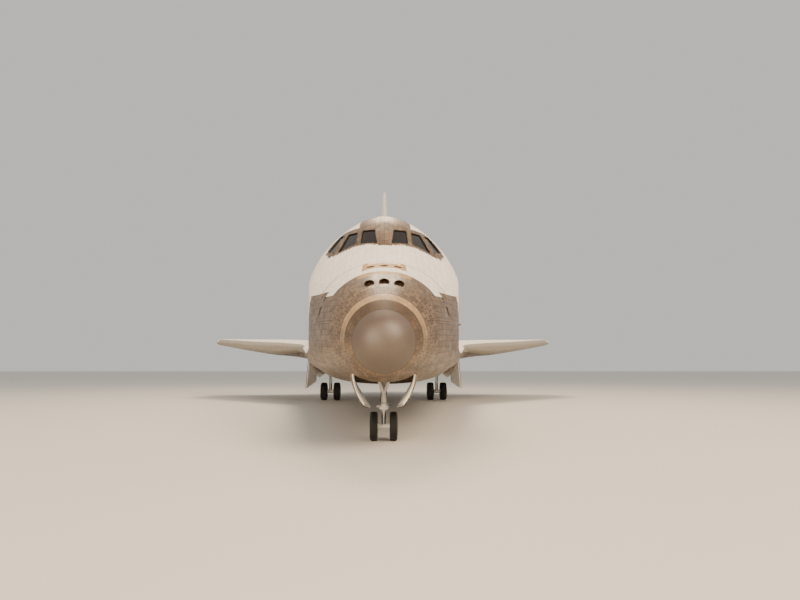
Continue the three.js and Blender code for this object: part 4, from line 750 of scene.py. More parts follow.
hatch = forwardSkin(np.linspace(5.85, 7.15, 40), name="sideHatch")
cut(hatch, forwardSkin(np.linspace(5.8, 7.2, 30), forwardShape["wall"], cabinPaint))
keep(hatch, hatchPlug(hatchShape["radius"]), block([1.8, 5, -2], [3, 8, 0], forwardTiles))
join(hatch, hatchKnuckle(hatchAft, hatchHalf), hatchBlock(hatchAft, hatchHalf, 2.5, hatchHinge[0], 0, 0.05))
portShape = {"radius": 0.13, "deep": 0.05, "pane": 0.014, "ring": 0.035, "proud": 0.006, "lap": 0.006,
             "span": 0.2}
skinX = [float(forwardAt([hatchAft + by])[0, 0]) for by in (-portShape["span"], 0, portShape["span"])]
portWay = unit([1, (skinX[0] - skinX[2]) / (2 * portShape["span"]), 0])
portMiddle = np.array([skinX[1], hatchAft, hatchShape["height"]])
portBase = portMiddle - portWay * portShape["deep"]
cut(hatch, rod(portBase, portMiddle + portWay * 0.2, portShape["radius"], frameMetal, sides=56))
settle(hatch, "crew_hatch", "crew_hatch")
# the hatch's pane has the same painted shade for the cabin behind it
settle(rod(portBase + portWay * hair, portBase + portWay * portShape["pane"], portShape["radius"] - hair,
           paneGlass, sides=56, name="hatchPane"), "crew_hatch")
near, far = portShape["radius"] - portShape["lap"], portShape["radius"] + portShape["ring"]
low, high = 0.02 - portShape["deep"], portShape["proud"]
settle(lathePiece("hatchRing", [[low, near], [high, near], [high, far], [low, far], [low, near]], portMiddle,
                  portWay, frameMetal, 56), "crew_hatch")
print("forward fuselage made")

# The nose gear doors are patches of the belly's skin, hung from its outer edges and swung down: tiles outside,
# a white pan with ribs inside.
noseDoor = {"margin": 0.02, "side": 0.01, "centre": 0.005, "open": 54, "tiles": 0.032, "pan": 0.055,
            "rib": 0.018, "ribs": 7, "ribDeep": 0.03, "lap": 0.004}
doorPlaces = [wellShape["front"] + noseDoor["margin"], wellShape["back"] - noseDoor["margin"]]
wellHalves = [wellShape["frontHalf"], wellShape["backHalf"]]
doorHalves = [np.interp(aft, [wellShape["front"], wellShape["back"]], wellHalves) - noseDoor["side"]
              for aft in doorPlaces]


def doorLayer(name, depths, ends, inner, outerBy, material):
    # the skin between two depths, over a part of the door's outline
    layer = forwardSkin(np.linspace(1.0, 4.8, 60), depths[0], material, name)
    cut(layer, forwardSkin(np.linspace(0.9, 4.9, 60), depths[1], material))
    halves = np.interp(ends, doorPlaces, doorHalves) - outerBy
    outline = [[inner, ends[0], -4], [halves[0], ends[0], -4], [halves[1], ends[1], -4], [inner, ends[1], -4]]
    return keep(layer, plank(outline, [0, 0, 1.7], material))


doorHinge = [skinPoint(half, aft, 2, -1) - [0, 0, hair] for half, aft in zip(doorHalves, doorPlaces)]
doorTiles = doorLayer("noseGearDoor", (0, noseDoor["tiles"]), doorPlaces, noseDoor["centre"], 0, darkTiles)
doorPan = doorLayer("noseGearDoorPan", (noseDoor["tiles"], noseDoor["pan"]), doorPlaces, noseDoor["centre"], 0,
                    glossPaint)
ribDepths = noseDoor["pan"] - noseDoor["lap"], noseDoor["pan"] + noseDoor["ribDeep"]
for place in np.linspace(doorPlaces[0] + 0.1, doorPlaces[1] - 0.1, noseDoor["ribs"]):
    ends = [place - noseDoor["rib"], place + noseDoor["rib"]]
    join(doorPan, doorLayer("tool", ribDepths, ends, 0.05, 0.06, glossPaint))
swing(doorTiles, *doorHinge, -noseDoor["open"])
swing(doorPan, *doorHinge, -noseDoor["open"])
settlePair(doorTiles, "airframe", "nose_gear_door_port")
settlePair(doorPan, "airframe")
print("nose gear doors made")

# The wheels: outer radius, rim radius, width, half distance between the pair, axle radius and bolts
wheelShape = {"nose": (0.406, 0.215, 0.224, 0.28, 0.034, 8), "main": (0.565, 0.29, 0.42, 0.42, 0.06, 12)}


def axleAt(x, aft, kind):
    # the floor slopes in the body's metres, and the nose wheels' place ties it down
    return np.array([x, aft, -4.8 - (aft - 3.51) * math.tan(pitch) + wheelShape[kind][0]])


def tyrePiece(name, middle, kind):
    # a rounded tread with grooves round it, and sidewalls that bulge between tread and rim
    radius, rim, width = wheelShape[kind][:3]
    half = width / 2
    turn = np.linspace(0, np.pi, 25)
    wall = np.stack([-half * np.sign(np.cos(turn)) * np.abs(np.cos(turn))**0.42,
                     mix(rim + 0.02, radius, np.abs(np.sin(turn))**0.5)], -1)
    profile = [tuple(p) for p in wall if abs(p[0]) > half * 0.6]
    for along in (-0.42, -0.14, 0.14, 0.42):
        near, far = along * half - 0.007, along * half + 0.007
        profile += [(near - 0.0005, radius), (near, radius - 0.012), (far, radius - 0.012),
                    (far + 0.0005, radius)]
    bead = [(-half * 0.75, rim + hair), (half * 0.75, rim + hair)]
    profile = bead[:1] + sorted(profile, key=lambda p: p[0]) + bead[1:] + bead[:1]
    return lathePiece(name, profile, middle, crossways, blackRubber, 96, 40)


def rimsPiece(name, middle, kind):
    # two dished wheels with bolt rings on one axle
    radius, rim, width, half, axle, bolts = wheelShape[kind]
    dish = [(0.38, 1.0), (0.4, 0.95), (0.36, 0.9), (0.22, 0.8), (0.19, 0.7), (0.24, 0.58), (0.3, 0.5), (0.3, 0.0)]
    side = [(width * share, rim * part) for share, part in dish]
    profile = [(-along, part) for along, part in reversed(side)] + side
    made = rodAcross(middle, crossways * half, axle, gearMetal, 48, name)
    for end in (-1, 1):
        hub = middle + crossways * half * end
        join(made, lathePiece("tool", profile, hub, crossways, gearMetal, 64, 40))
        for turn in np.arange(bolts) * 2 * np.pi / bolts:
            spoke = np.array([0, math.cos(turn), math.sin(turn)]) * rim * 0.74
            face = hub + crossways * end * (width * 0.2 - 0.02) + spoke
            join(made, rod(face, face + crossways * end * 0.045, rim * 0.055, gearMetal, sides=8))
    return made


def sleevePiece(name, middle, kind, radius):
    # a tube round the axle, between the wheels
    width, half, axle = wheelShape[kind][2:5]
    reach, bore = half - width * 0.3 - hair, axle + 0.005
    profile = [(-reach, bore), (-reach, radius), (reach, radius), (reach, bore), (-reach, bore)]
    return lathePiece(name, profile, middle, crossways, glossPaint, 48)


noseAxle = axleAt(0, 3.51, "nose")
settle(rimsPiece("noseRims", noseAxle, "nose"), "nose_wheels", "nose_rims")
for side, name in ((1, "Port"), (-1, "Starboard")):
    tyre = tyrePiece("noseTyre" + name, noseAxle + crossways * side * wheelShape["nose"][3], "nose")
    settle(tyre, "nose_wheels", "nose_tyre_" + name.lower())

# The nose leg: a steered piston with its torque links, in a braced cylinder. Bars go from place to place, as
# distances from the axle's middle or from the collar, with a radius and a number of sides.
noseLeg = {"collar": 0.48, "piston": 0.062, "cylinder": 0.095, "brace": 0.045, "slot": 0.039}
roof = wellShape["roof"] - hair
collar = noseAxle + [0, 0, noseLeg["collar"]]
fork = sleevePiece("noseGearFork", noseAxle, "nose", 0.075)
join(fork, rod(noseAxle + [0, 0, 0.055], collar - [0, 0, hair], noseLeg["piston"], steelTube, sides=40),
     block(noseAxle + [-0.05, 0.04, 0.03], noseAxle + [0.05, 0.2, 0.08], glossPaint))
forkBars = [((-0.07, 0.21, 0.06), (0.07, 0.21, 0.06), 0.026, 24),
            ((0.045, 0.2, 0.06), (0.02, 0.27, 0.24), 0.017, 16),
            ((-0.045, 0.2, 0.06), (-0.02, 0.27, 0.24), 0.017, 16),
            ((-0.04, 0.27, 0.24), (0.04, 0.27, 0.24), 0.022, 16),
            ((0, 0.27, 0.25), (0, 0.05, 0.42), 0.02, 16)]
for start, end, radius, sides in forkBars:
    join(fork, rod(noseAxle + start, noseAxle + end, radius, glossPaint, sides=sides))
cut(fork, rodAcross(noseAxle, crossways * 0.3, noseLeg["slot"], glossPaint, 48))
paint(fork, steelTube, lambda p, n: (np.hypot(p[0], p[1] - noseAxle[1]) < 0.064) & (p[2] > noseAxle[2] + 0.09))
settle(fork, "nose_steering", "nose_gear_fork")

legAft, braceZ = noseAxle[1], roof - 0.06
leg = rod(collar, [0, legAft, roof], noseLeg["cylinder"], glossPaint, sides=48, name="noseGearLeg")
join(leg, rod(collar, collar + [0, 0, 0.16], 0.13, glossPaint, sides=48),
     rod(collar + [0, 0, 0.16], collar + [0, 0, 0.2], 0.13, glossPaint, 0.1, 48),
     rod([0, legAft, -3.36], [0, legAft, -3.28], 0.112, glossPaint, sides=48),
     rod([-0.43, legAft, -2.48], [0.43, legAft, -2.48], 0.06, glossPaint, sides=32),
     rod([-0.44, 2.1, braceZ], [0.44, 2.1, braceZ], 0.05, glossPaint))
for side in (-1, 1):
    join(leg, rod([0, legAft - 0.06, -3.5], [side * 0.42, 2.1, braceZ], noseLeg["brace"], glossPaint),
         rod([side * 0.05, legAft, -3.3], [side * 0.4, legAft, -2.5], 0.038, glossPaint),
         rod(collar + [side * 0.09, 0.03, 0.08], collar + [side * 0.2, 0.03, 0.08], 0.035, steelTube, sides=20))
cut(leg, block([-1, 1, roof], [1, 4.5, roof + 0.5], glossPaint))
settle(leg, "airframe", "nose_gear_leg")


def hosePiece(name, places, radius, material, steps=24):
    # a round section carried along a smooth curve through the places
    places = np.asarray(places, float)
    ends = np.concatenate([[2 * places[0] - places[1]], places, [2 * places[-1] - places[-2]]])
    t = np.linspace(0, 1, steps, endpoint=False)[:, None]
    runs = [0.5 * (2 * b + (c - a) * t + (2 * a - 5 * b + 4 * c - d) * t**2 + (3 * b - a - 3 * c + d) * t**3)
            for a, b, c, d in zip(ends, ends[1:], ends[2:], ends[3:])]
    line = np.concatenate(runs + [places[-1:]])
    along = np.gradient(line, axis=0)
    along /= np.linalg.norm(along, axis=1)[:, None]
    side = np.cross(along, [0.3, 0.9, 0.1])
    side /= np.linalg.norm(side, axis=1)[:, None]
    other = np.cross(along, side)
    turn = np.linspace(0, 2 * np.pi, 12, endpoint=False)[None, :, None]
    rings = line[:, None] + radius * (np.cos(turn) * side[:, None] + np.sin(turn) * other[:, None])
    return loftPiece(name, rings, material, 60)


for number, side in enumerate((-1, 1)):
    hose = [[side * 0.06, legAft - 0.1, -2.3], [side * 0.085, legAft - 0.085, -2.9],
            [side * 0.075, legAft - 0.09, -3.4], collar + [side * 0.1, -0.12, 0.1]]
    settle(hosePiece(f"noseLegHose{number + 1}", hose, 0.009, hosePlastic), "airframe")
print("nose gear made")

# The wing's sections run from the leading edge over the thickest point to the elevons' hinge line and the tail.
# Half thicknesses above and below, by distance from the centre plane, are the rows of crest and keel.
wingShape = {"root": 2.6204, "hingeAft": 29.235, "hingeHeight": -3.02, "rise": 0.0612, "tail": 0.015,
             "thickest": 0.4, "edgeHeight": -2.5, "droop": 0.25, "gloveRun": 4.0, "start": 8.8008}
crestAt = through(np.array([[2.62, 0.68], [4.7, 0.64], [7.0, 0.513], [9.5, 0.365], [11.9, 0.228]]), root=False)
keelAt = through(np.array([[2.62, 0.52], [4.7, 0.56], [7.0, 0.5], [9.5, 0.36], [11.9, 0.172]]), root=False)


def hingeThick(x):
    return mix(0.54, 0.3, (np.asarray(x) - 2.62) / 9.28)


def edgeAt(x):
    # the glove's and the outer wing's leading edges, rounded into each other and at the tip
    x = np.asarray(x, float)
    glove, outer = 6.7 + (x - 2.616) * 6.313, 15.24 + x
    return (glove + outer - np.hypot(glove - outer, 1.5)) / 2 + np.maximum(x - 11.5, 0)**2 * 2


def hingeHeight(x):
    return wingShape["hingeHeight"] + wingShape["rise"] * np.asarray(x)


def smoothStep(x, low, high):
    t = np.clip((x - low) / (high - low), 0, 1)
    return t * t * (3 - 2 * t)


def wingRings(places, narrow=1.0, steps=40):
    # each side of a section rises and falls from the edge's height by shares of the chord
    x = np.asarray(places, float)[:, None]
    narrow = np.broadcast_to(narrow, x[:, 0].shape)[:, None]
    front, height = edgeAt(x), hingeHeight(x)
    chord = wingShape["hingeAft"] - front
    start = np.maximum(0, (wingShape["start"] - front) / chord)
    u = mix(start, 1, np.linspace(0, 1, steps)**2.4)
    droop = wingShape["droop"] * np.clip((6.5 - x) / 3.9, 0, 1)
    edge = np.maximum(wingShape["edgeHeight"], height)
    middle = height - droop * (1 - u)**2
    fade = np.minimum(smoothStep(u, wingShape["thickest"], 1.15) * 1.19, 1)
    crest, keel = (mix(at(x[:, 0]), hingeThick(x) / 2, fade) * narrow for at in (crestAt, keelAt))
    rise = np.sqrt(1 - (1 - np.minimum(u / wingShape["thickest"], 1))**2)
    gentle = 1 - (1 - np.minimum(u * chord / wingShape["gloveRun"], 1))**1.35
    fall = mix(np.maximum(gentle, rise * 0.5), rise**0.6, smoothStep(x, 4.3, 7.0))
    upper, lower = mix(edge, middle + crest, rise), mix(edge, middle - keel, fall)
    lower[:, 0] = np.minimum(lower[:, 0], upper[:, 0] - 0.0005)
    tail = 32.746 - 0.1773 * x
    aft = np.concatenate([mix(front, wingShape["hingeAft"], u), tail], 1)
    upper = np.concatenate([upper, height + wingShape["tail"]], 1)
    lower = np.concatenate([lower, height - wingShape["tail"]], 1)
    aft, z = np.concatenate([aft, aft[:, ::-1]], 1), np.concatenate([upper, lower[:, ::-1]], 1)
    return np.stack([np.broadcast_to(x, z.shape), aft, z], -1)


def wingSkin(name, material):
    inner = [[wingShape["root"], 2.7, 2.8, 2.95], np.linspace(3.1, 6.4, 34), np.linspace(6.6, 11.7, 30)]
    tips = wingRings([11.76, 11.82, 11.87, 11.9], [0.93, 0.84, 0.72, 0.55])
    return loftPiece(name, np.concatenate([wingRings(np.concatenate(inner)), tips]), material)


# The leading edge is the room before a line that runs its depth behind the edge, cut by joints square to it.
edgeShape = {"from": 4.15, "to": 11.65, "depth": 0.62, "seam": 0.004, "panels": 22, "joint": 0.004,
             "jointFront": -0.3, "jointBack": 0.9}


def edgeRegion(grow):
    xs = np.linspace(edgeShape["from"] - grow, edgeShape["to"] + grow, 40)
    back = np.stack([xs, edgeAt(xs) + edgeShape["depth"] + grow, np.full(40, -5.0)], -1)[::-1]
    return plank(np.concatenate([[[xs[0], 8, -5], [xs[-1], 8, -5]], back]), [0, 0, 5], carbon)


leadingEdge = keep(wingSkin("leadingEdge", carbon), edgeRegion(0))
for place in np.linspace(edgeShape["from"], edgeShape["to"], edgeShape["panels"] + 1)[1:-1]:
    along = unit([1.0, float(edgeAt(place + 0.01) - edgeAt(place - 0.01)) / 0.02, 0.0])
    inward = np.array([-along[1], along[0], 0.0])
    low = np.array([place, float(edgeAt(place)), -5.0])
    ends = [edgeShape["jointFront"], edgeShape["jointFront"], edgeShape["jointBack"], edgeShape["jointBack"]]
    outline = [low + along * side * edgeShape["joint"] + inward * end for side, end in zip((-1, 1, 1, -1), ends)]
    cut(leadingEdge, plank(outline, [0, 0, 5], carbon))
settlePair(leadingEdge, "airframe", "leading_edge_port")

# The elevons: each has a round nose on its hinge line, with fixed discs of the wing in slots
elevonShape = {"inboard": (3.26, 7.45), "outboard": (7.5, 11.34), "gap": 0.014, "boss": 0.12, "shrink": 0.02,
               "tall": 0.7, "end": 34}


def noseRadius(x):
    return hingeThick(x) / 2 - 0.003


def fixedBoss(middle, axis, radius, web, material):
    # a disc on the hinge line with a flat arm to the fixed side
    along = unit(axis) * elevonShape["boss"] / 2
    up = np.cross(axis, web)
    up *= radius * 0.6 / np.linalg.norm(up)
    outline = np.array([middle + up, middle + web + up, middle + web - up, middle - up])
    arm = plank(outline - along, along * 2, material)
    return join(rodAcross(middle, along, radius - elevonShape["shrink"], material, 48), arm)


def elevonRegion(ends, axis, grow):
    # the room behind the hinge line between ends square to it
    upward = np.array([-axis[2], 0, axis[0]])
    front, tall = wingShape["hingeAft"] - 0.001, elevonShape["tall"]
    corners = [[front, -tall], [elevonShape["end"], -tall], [elevonShape["end"], tall], [front, tall]]
    sides = [[[end[0], aft, end[2]] + upward * up + axis * sign * grow for aft, up in corners]
             for end, sign in zip(ends, (-1, 1))]
    return loftPiece("tool", sides, wingTiles)


def elevonNose(ends, axis, grow):
    near, far = (noseRadius(end[0]) + grow * 1.8 for end in ends)
    return rod(ends[0] - axis * grow, ends[1] + axis * grow, near, wingTiles, far, 64)


wing = cut(wingSkin("wing", wingTiles), edgeRegion(edgeShape["seam"]))
for name in ("inboard", "outboard"):
    ends = [np.array([x, wingShape["hingeAft"], hingeHeight(x)]) for x in elevonShape[name]]
    axis = unit(ends[1] - ends[0])
    elevon = keep(wingSkin("elevon" + name.capitalize(), wingTiles), elevonRegion(ends, axis, 0))
    join(elevon, elevonNose(ends, axis, 0))
    cut(wing, elevonRegion(ends, axis, elevonShape["gap"]), elevonNose(ends, axis, elevonShape["gap"]))
    for share in (0.25, 0.75):
        middle = mix(ends[0], ends[1], share)
        radius = float(noseRadius(middle[0]))
        cut(elevon, rodAcross(middle, (elevonShape["boss"] / 2 + 2 * hair) * axis, radius + 0.014, wingTiles, 64))
        join(wing, fixedBoss(middle, axis, radius, np.array([0, -radius - 0.16, 0]), wingTiles))
    settlePair(elevon, f"elevon_{name}_port", f"elevon_{name}_port")

aftPlaces = np.concatenate([np.linspace(27.2004, 29.0, 12), np.linspace(29.05, 29.4, 12),
                            np.linspace(29.5, 32.9, 24)])


def aftSolid():
    # the aft fuselage without its hollow, a hair larger
    places = np.concatenate([[27.15], aftPlaces[1:-1], [32.9004]])
    return loftPiece("tool", hullRings(aftAt, places, -hair), forwardTiles)


mainWell = {"inner": 2.76, "outer": 4.33, "front": 20.3, "back": 24.7, "roof": -2.56, "low": -4.5, "skin": -3.35}


def inMainWell(p, n):
    # the walls and the roof of the wheel well, and not the skin round it
    x, y, z = p
    inside = (x > mainWell["inner"] - 0.01) & (x < mainWell["outer"] + 0.01) & (y > mainWell["front"] - 0.01)
    inside &= (y < mainWell["back"] + 0.01) & (z < mainWell["roof"] + 0.01) & (z > mainWell["skin"])
    return inside & ((np.abs(n[0]) > 0.9) | (np.abs(n[1]) > 0.9) | (n[2] < -0.9))


cut(wing, block([mainWell["inner"], mainWell["front"], mainWell["low"]],
                [mainWell["outer"], mainWell["back"], mainWell["roof"]], glossPaint), aftSolid())
largestPart(wing)
paint(wing, glossPaint, inMainWell)
settlePair(wing, "airframe", "wing_port")
print("wings made")

# The main gear doors: tiles outside, a white pan with ribs inside, cut off a little below the wing's skin
mainDoor = {"top": -3.0, "deep": 1.89, "thick": 0.07, "splay": 0.08, "pan": 0.03, "ribs": 9, "fit": 0.012,
            "clear": 0.02, "rib": 0.025, "ribDeep": 0.035, "lap": 0.004}


def mainDoorLayer(name, near, far, front, back, low, material):
    # a slab that leans outwards as it goes down
    x, top, lean = mainWell["outer"] + mainDoor["clear"], mainDoor["top"], mainDoor["splay"] * low
    outline = [[x + near, front, top], [x + far, front, top], [x + far + lean, front, top - low],
               [x + near + lean, front, top - low]]
    return plank(outline, [0, back - front, 0], material, name)


wingTool = wingSkin("wingTool", wingTiles)
wingTool.data.transform(Matrix.Translation((0, 0, -mainDoor["fit"])))
front, back, deep = mainWell["front"], mainWell["back"], mainDoor["deep"]
mainTiles = mainDoorLayer("mainGearDoor", mainDoor["pan"], mainDoor["thick"], front, back, deep, darkTiles)
mainPan = mainDoorLayer("mainGearDoorPan", 0, mainDoor["pan"], front, back, deep, glossPaint)
for place in np.linspace(front + 0.15, back - 0.15, mainDoor["ribs"]):
    join(mainPan, mainDoorLayer("tool", -mainDoor["ribDeep"], mainDoor["lap"], place - mainDoor["rib"],
                                place + mainDoor["rib"], deep - 0.08, glossPaint))
cut(mainTiles, copyOf(wingTool, "tool"))
cut(mainPan, wingTool)
settlePair(mainTiles, "airframe", "main_gear_door_port")
settlePair(mainPan, "airframe")

# The main gear: an axle sleeve on a piston, in a cylinder with drag and side braces. Bars go from place to
# place with a radius and a number of sides.
mainAxle = axleAt(3.455, 24.0, "main")
settlePair(rimsPiece("mainRims", mainAxle, "main"), "main_wheels_port", "main_rims_port")
for side, name in ((1, "Outer"), (-1, "Inner")):
    tyre = tyrePiece("mainTyre" + name, mainAxle + crossways * side * wheelShape["main"][3], "main")
    settlePair(tyre, "main_wheels_port", f"main_tyre_{name.lower()}_port")
mainTop = mainWell["roof"] - hair
mainLeg = sleevePiece("mainGearLeg", mainAxle, "main", 0.12)
x, aft = mainAxle[:2]
mainBars = [((x, aft, mainAxle[2] + 0.09), (x, aft, -4.3), 0.095, 48),
            ((x, aft, -4.35), (x, aft, mainTop), 0.145, 48), ((x, aft, -4.43), (x, aft, -4.33), 0.165, 48),
            ((x, aft, -4.15), (3.05, 22.3, mainTop + 0.04), 0.06, 24),
            ((x, aft, -4.15), (3.86, 22.3, mainTop + 0.04), 0.06, 24),
            ((x, aft, -3.5), (4.12, 24.1, mainTop + 0.04), 0.05, 24),
            ((x, 24.08, -4.4), (x, 24.42, -4.85), 0.04, 20), ((x, 24.42, -4.85), (x, 24.06, -5.33), 0.04, 20),
            ((3.385, 24.42, -4.85), (3.525, 24.42, -4.85), 0.045, 20)]
for start, end, radius, sides in mainBars:
    join(mainLeg, rod(start, end, radius, glossPaint, sides=sides))
cut(mainLeg, rodAcross(mainAxle, crossways * 0.45, 0.065, glossPaint, 48))
keep(mainLeg, block([2.8, 21, -6], [4.3, 24.69, mainTop], glossPaint))
paint(mainLeg, steelTube, lambda p, n: (np.hypot(p[0] - mainAxle[0], p[1] - mainAxle[1]) < 0.097)
      & (p[2] > mainAxle[2] + 0.13) & (p[2] < -4.3))
settlePair(mainLeg, "airframe", "main_gear_leg_port")
print("main gear made")

# The cargo bay: a trough between thirteen frames. The belly's corners are round behind the cabin, square aft.
bayShape = {"start": 8.8, "front": 8.8008, "back": 27.2, "radius": 2.62, "centre": -0.05, "belly": -3.47,
            "sill": 0.45, "clear": 2.286, "frames": 13, "pocket": 0.18, "pocketTop": 0.23, "rim": 0.09}
doorShape = {"thick": 0.09, "offset": 0.012, "knuckle": 0.024, "gap": 0.006, "hinges": 3, "hinge": 0.3,
             "hingeFront": 9.0, "hingeBack": 27.0}
wide, clear, sill = bayShape["radius"], bayShape["clear"], bayShape["sill"]


def arcPoints(radius, start, end, steps):
    turn = np.linspace(start, end, steps + 1)
    return np.stack([radius * np.sin(turn), bayShape["centre"] + radius * np.cos(turn)], -1)


def beam(outline, front, back, material, name="tool"):
    # an outline in x and z carried aft
    outline = np.asarray(outline, float)
    points = np.stack([outline[:, 0], np.full(len(outline), front), outline[:, 1]], -1)
    return plank(points, [0, back - front, 0], material, name)


def bayCut(radius, front, back, top):
    # half a round room, open at the top
    turn = np.linspace(0, np.pi, 65)
    low = np.stack([-radius * np.cos(turn), -radius * np.sin(turn)], -1)
    return beam(np.concatenate([low, [[radius, top], [-radius, top]]]), front, back, linerPaint)


def cornerRing(aft, height, full):
    # a section whose lower corners curve from a height on the side to the belly's middle
    belly = bayShape["belly"]
    places = (wide, height), (wide, mix(height, belly, full)), (wide * full, belly), (0, belly)
    t = np.linspace(0, 1, 25)[:, None]
    a, b, c, d = np.array(places)
    curve = (1 - t)**3 * a + 3 * t * (1 - t)**2 * b + 3 * t**2 * (1 - t) * c + t**3 * d
    half = np.concatenate([[[wide, 1.0]], curve])
    ring = np.concatenate([half, half[-2::-1] * [-1, 1]])
    return np.stack([ring[:, 0], np.full(len(ring), aft), ring[:, 1]], -1)


def angleAt(height):
    return math.acos((height - bayShape["centre"]) / wide)


sideArc = arcPoints(wide, math.pi / 2, angleAt(sill), 16)
sills = [[clear + 0.02, sill], [-clear - 0.02, sill]]
troughOutline = np.concatenate([[[-wide, bayShape["belly"]], [wide, bayShape["belly"]]], sideArc, sills,
                                sideArc[::-1] * [-1, 1]])
trough = beam(troughOutline, bayShape["front"], bayShape["back"], forwardTiles, "midFuselage")
keep(trough, loftPiece("tool", [cornerRing(8.8, -2.76, 0.7), cornerRing(10.1, -3.06, 0.86),
                                cornerRing(11.8, -3.46, 0.99), cornerRing(27.2, -3.46, 0.99)], forwardTiles))
cut(trough, bayCut(clear, bayShape["start"] - 0.05, bayShape["back"] + 0.05, 0.55))
frameStep = (bayShape["back"] - bayShape["start"]) / bayShape["frames"]
for number in range(bayShape["frames"]):
    front = bayShape["start"] + number * frameStep
    cut(trough, bayCut(clear + bayShape["pocket"], front + bayShape["rim"], front + frameStep - bayShape["rim"],
                       bayShape["pocketTop"]))

# Each door hangs from knuckles on the sill, its own aft of the fuselage's.
doorX = wide * math.sin(angleAt(sill)) + doorShape["offset"]
hingeSpan = doorShape["hingeBack"] - doorShape["hingeFront"]
hingeMiddles = doorShape["hingeFront"] + hingeSpan * (np.arange(doorShape["hinges"]) + 0.5) / doorShape["hinges"]
knuckleShift = doorShape["hinge"] + hair


def hingeBar(side, aft, room=False):
    # a knuckle, or the room for the other part's
    radius, length = doorShape["knuckle"] + room * 0.006, doorShape["hinge"] + room * 2 * hair
    return rodAcross(np.array([side * doorX, aft, sill]), np.array([0, length / 2, 0]), radius, gearMetal, 32)


for aft in hingeMiddles:
    for side in (-1, 1):
        cut(trough, hingeBar(side, aft + knuckleShift, True))
        join(trough, hingeBar(side, aft))
paint(trough, linerPaint, lambda p, n: (np.hypot(p[0], np.minimum(p[2], 0)) < clear + bayShape["pocket"] + 0.005)
      & (p[2] < sill - 0.01) & (p[2] > -clear - 0.185) & (p[1] > bayShape["start"] + 0.001)
      & (p[1] < bayShape["back"] - 0.001))
settle(trough, "airframe", "mid_fuselage")


def arcSlab(outer, inner, start, end, front, back, material, name="tool"):
    outline = np.concatenate([arcPoints(outer, start, end, 40), arcPoints(inner, end, start, 40)])
    return beam(outline, front, back, material, name)


doorEdge, crown = angleAt(sill + doorShape["gap"]), 0.004 / wide
bayDoor = arcSlab(wide, wide - doorShape["thick"], doorEdge, crown, bayShape["start"] + doorShape["gap"],
                  bayShape["back"] - doorShape["gap"], feltBlanket, "bayDoor")
keep(bayDoor, block([0, 0, sill + doorShape["gap"]], [3, 40, 3], feltBlanket))
for aft in hingeMiddles:
    cut(bayDoor, hingeBar(1, aft, True))
    join(bayDoor, hingeBar(1, aft + knuckleShift))
for share in (0.25, 0.5, 0.75):  # joints between the door's four panels
    aft = mix(bayShape["start"], bayShape["back"], share)
    cut(bayDoor, arcSlab(2.7, wide - 0.008, doorEdge - 0.1, -0.05, aft - 0.008, aft + 0.008, feltBlanket))
paint(bayDoor, linerPaint, lambda p, n: (np.hypot(p[0], p[2] - bayShape["centre"]) < 2.535)
      & (np.abs(n[1]) < 0.9))
settlePair(bayDoor, "bay_door_port", "bay_door_port")

# The radiator lines the door in four panels, with a groove between them on both faces.
radiatorShape = {"thick": 0.05, "margin": 0.25, "panels": 4, "groove": 0.02, "over": 0.012, "under": 0.02}
start, end = mix(doorEdge, crown, 1 / 9), mix(doorEdge, crown, 8 / 9)
outer = wide - doorShape["thick"] - hair
panelEnds = np.linspace(bayShape["start"] + radiatorShape["margin"], bayShape["back"] - radiatorShape["margin"],
                        radiatorShape["panels"] + 1)
radiator = arcSlab(outer, outer - radiatorShape["thick"], start, end, panelEnds[0], panelEnds[-1], radiatorMetal,
                   "radiator")
for aft in panelEnds[1:-1]:
    for far, near in ((2.6, outer - radiatorShape["over"]), (outer - radiatorShape["under"], 2.4)):
        cut(radiator, arcSlab(far, near, start + 0.1, end - 0.1, aft - radiatorShape["groove"],
                              aft + radiatorShape["groove"], radiatorMetal))
settlePair(radiator, "bay_door_port", "radiator_port")
print("cargo bay made")

# The aft fuselage: a shell round the thrust structure, with a domed shield round each main engine. An engine
# has its gimbal's place, how far it points up and outwards, and its shield's radius.
engineShape = {"upper": ((0, 30.71, 1.092), 16, 0, 2.15), "port": ((1.346, 31.297, -1.457), 10, 3.5, 1.7),
               "starboard": ((-1.346, 31.297, -1.457), 10, -3.5, 1.7)}
shieldShape = {"inner": 18.5, "outer": 34, "thick": 0.04, "opening": 30, "room": 4.2, "reach": 47, "clear": 0.02,
               "dome": 0.096, "lap": 0.002, "felt": 0.126, "rim": 32.905}
flapShape = {"aft": 32.96, "height": -2.625, "radius": 0.225, "half": 3.19, "chord": 2.06, "tip": 0.06,
             "run": 0.012}


def engineAxis(cant, out=0.0):
    up, side = math.radians(cant), math.radians(out)
    return np.array([math.sin(side), math.cos(up) * math.cos(side), math.sin(up) * math.cos(side)])


def ballSector(gimbal, axis, radius, grow):
    # the part of a ball that lies within the dome's cone
    turn = np.radians(np.linspace(shieldShape["reach"], 0, 24))
    arc = np.stack([radius * np.cos(turn) + 2 * grow, radius * np.sin(turn)], -1)
    profile = np.concatenate([[[0, 0]], arc])
    return lathePiece("tool", profile, gimbal - 2 * grow * axis, axis, forwardTiles, 72)


engines = {key: (np.array(gimbal), engineAxis(cant, out), radius)
           for key, (gimbal, cant, out, radius) in engineShape.items()}


def domeInner(key):
    gimbal, axis, radius = engines[key]
    return ballSector(gimbal, axis, radius + shieldShape["clear"], shieldShape["lap"])


def domeOuter(key, grow=0.0):
    gimbal, axis, radius = engines[key]
    return ballSector(gimbal, axis, radius + shieldShape["clear"] + shieldShape["dome"] + grow, grow)


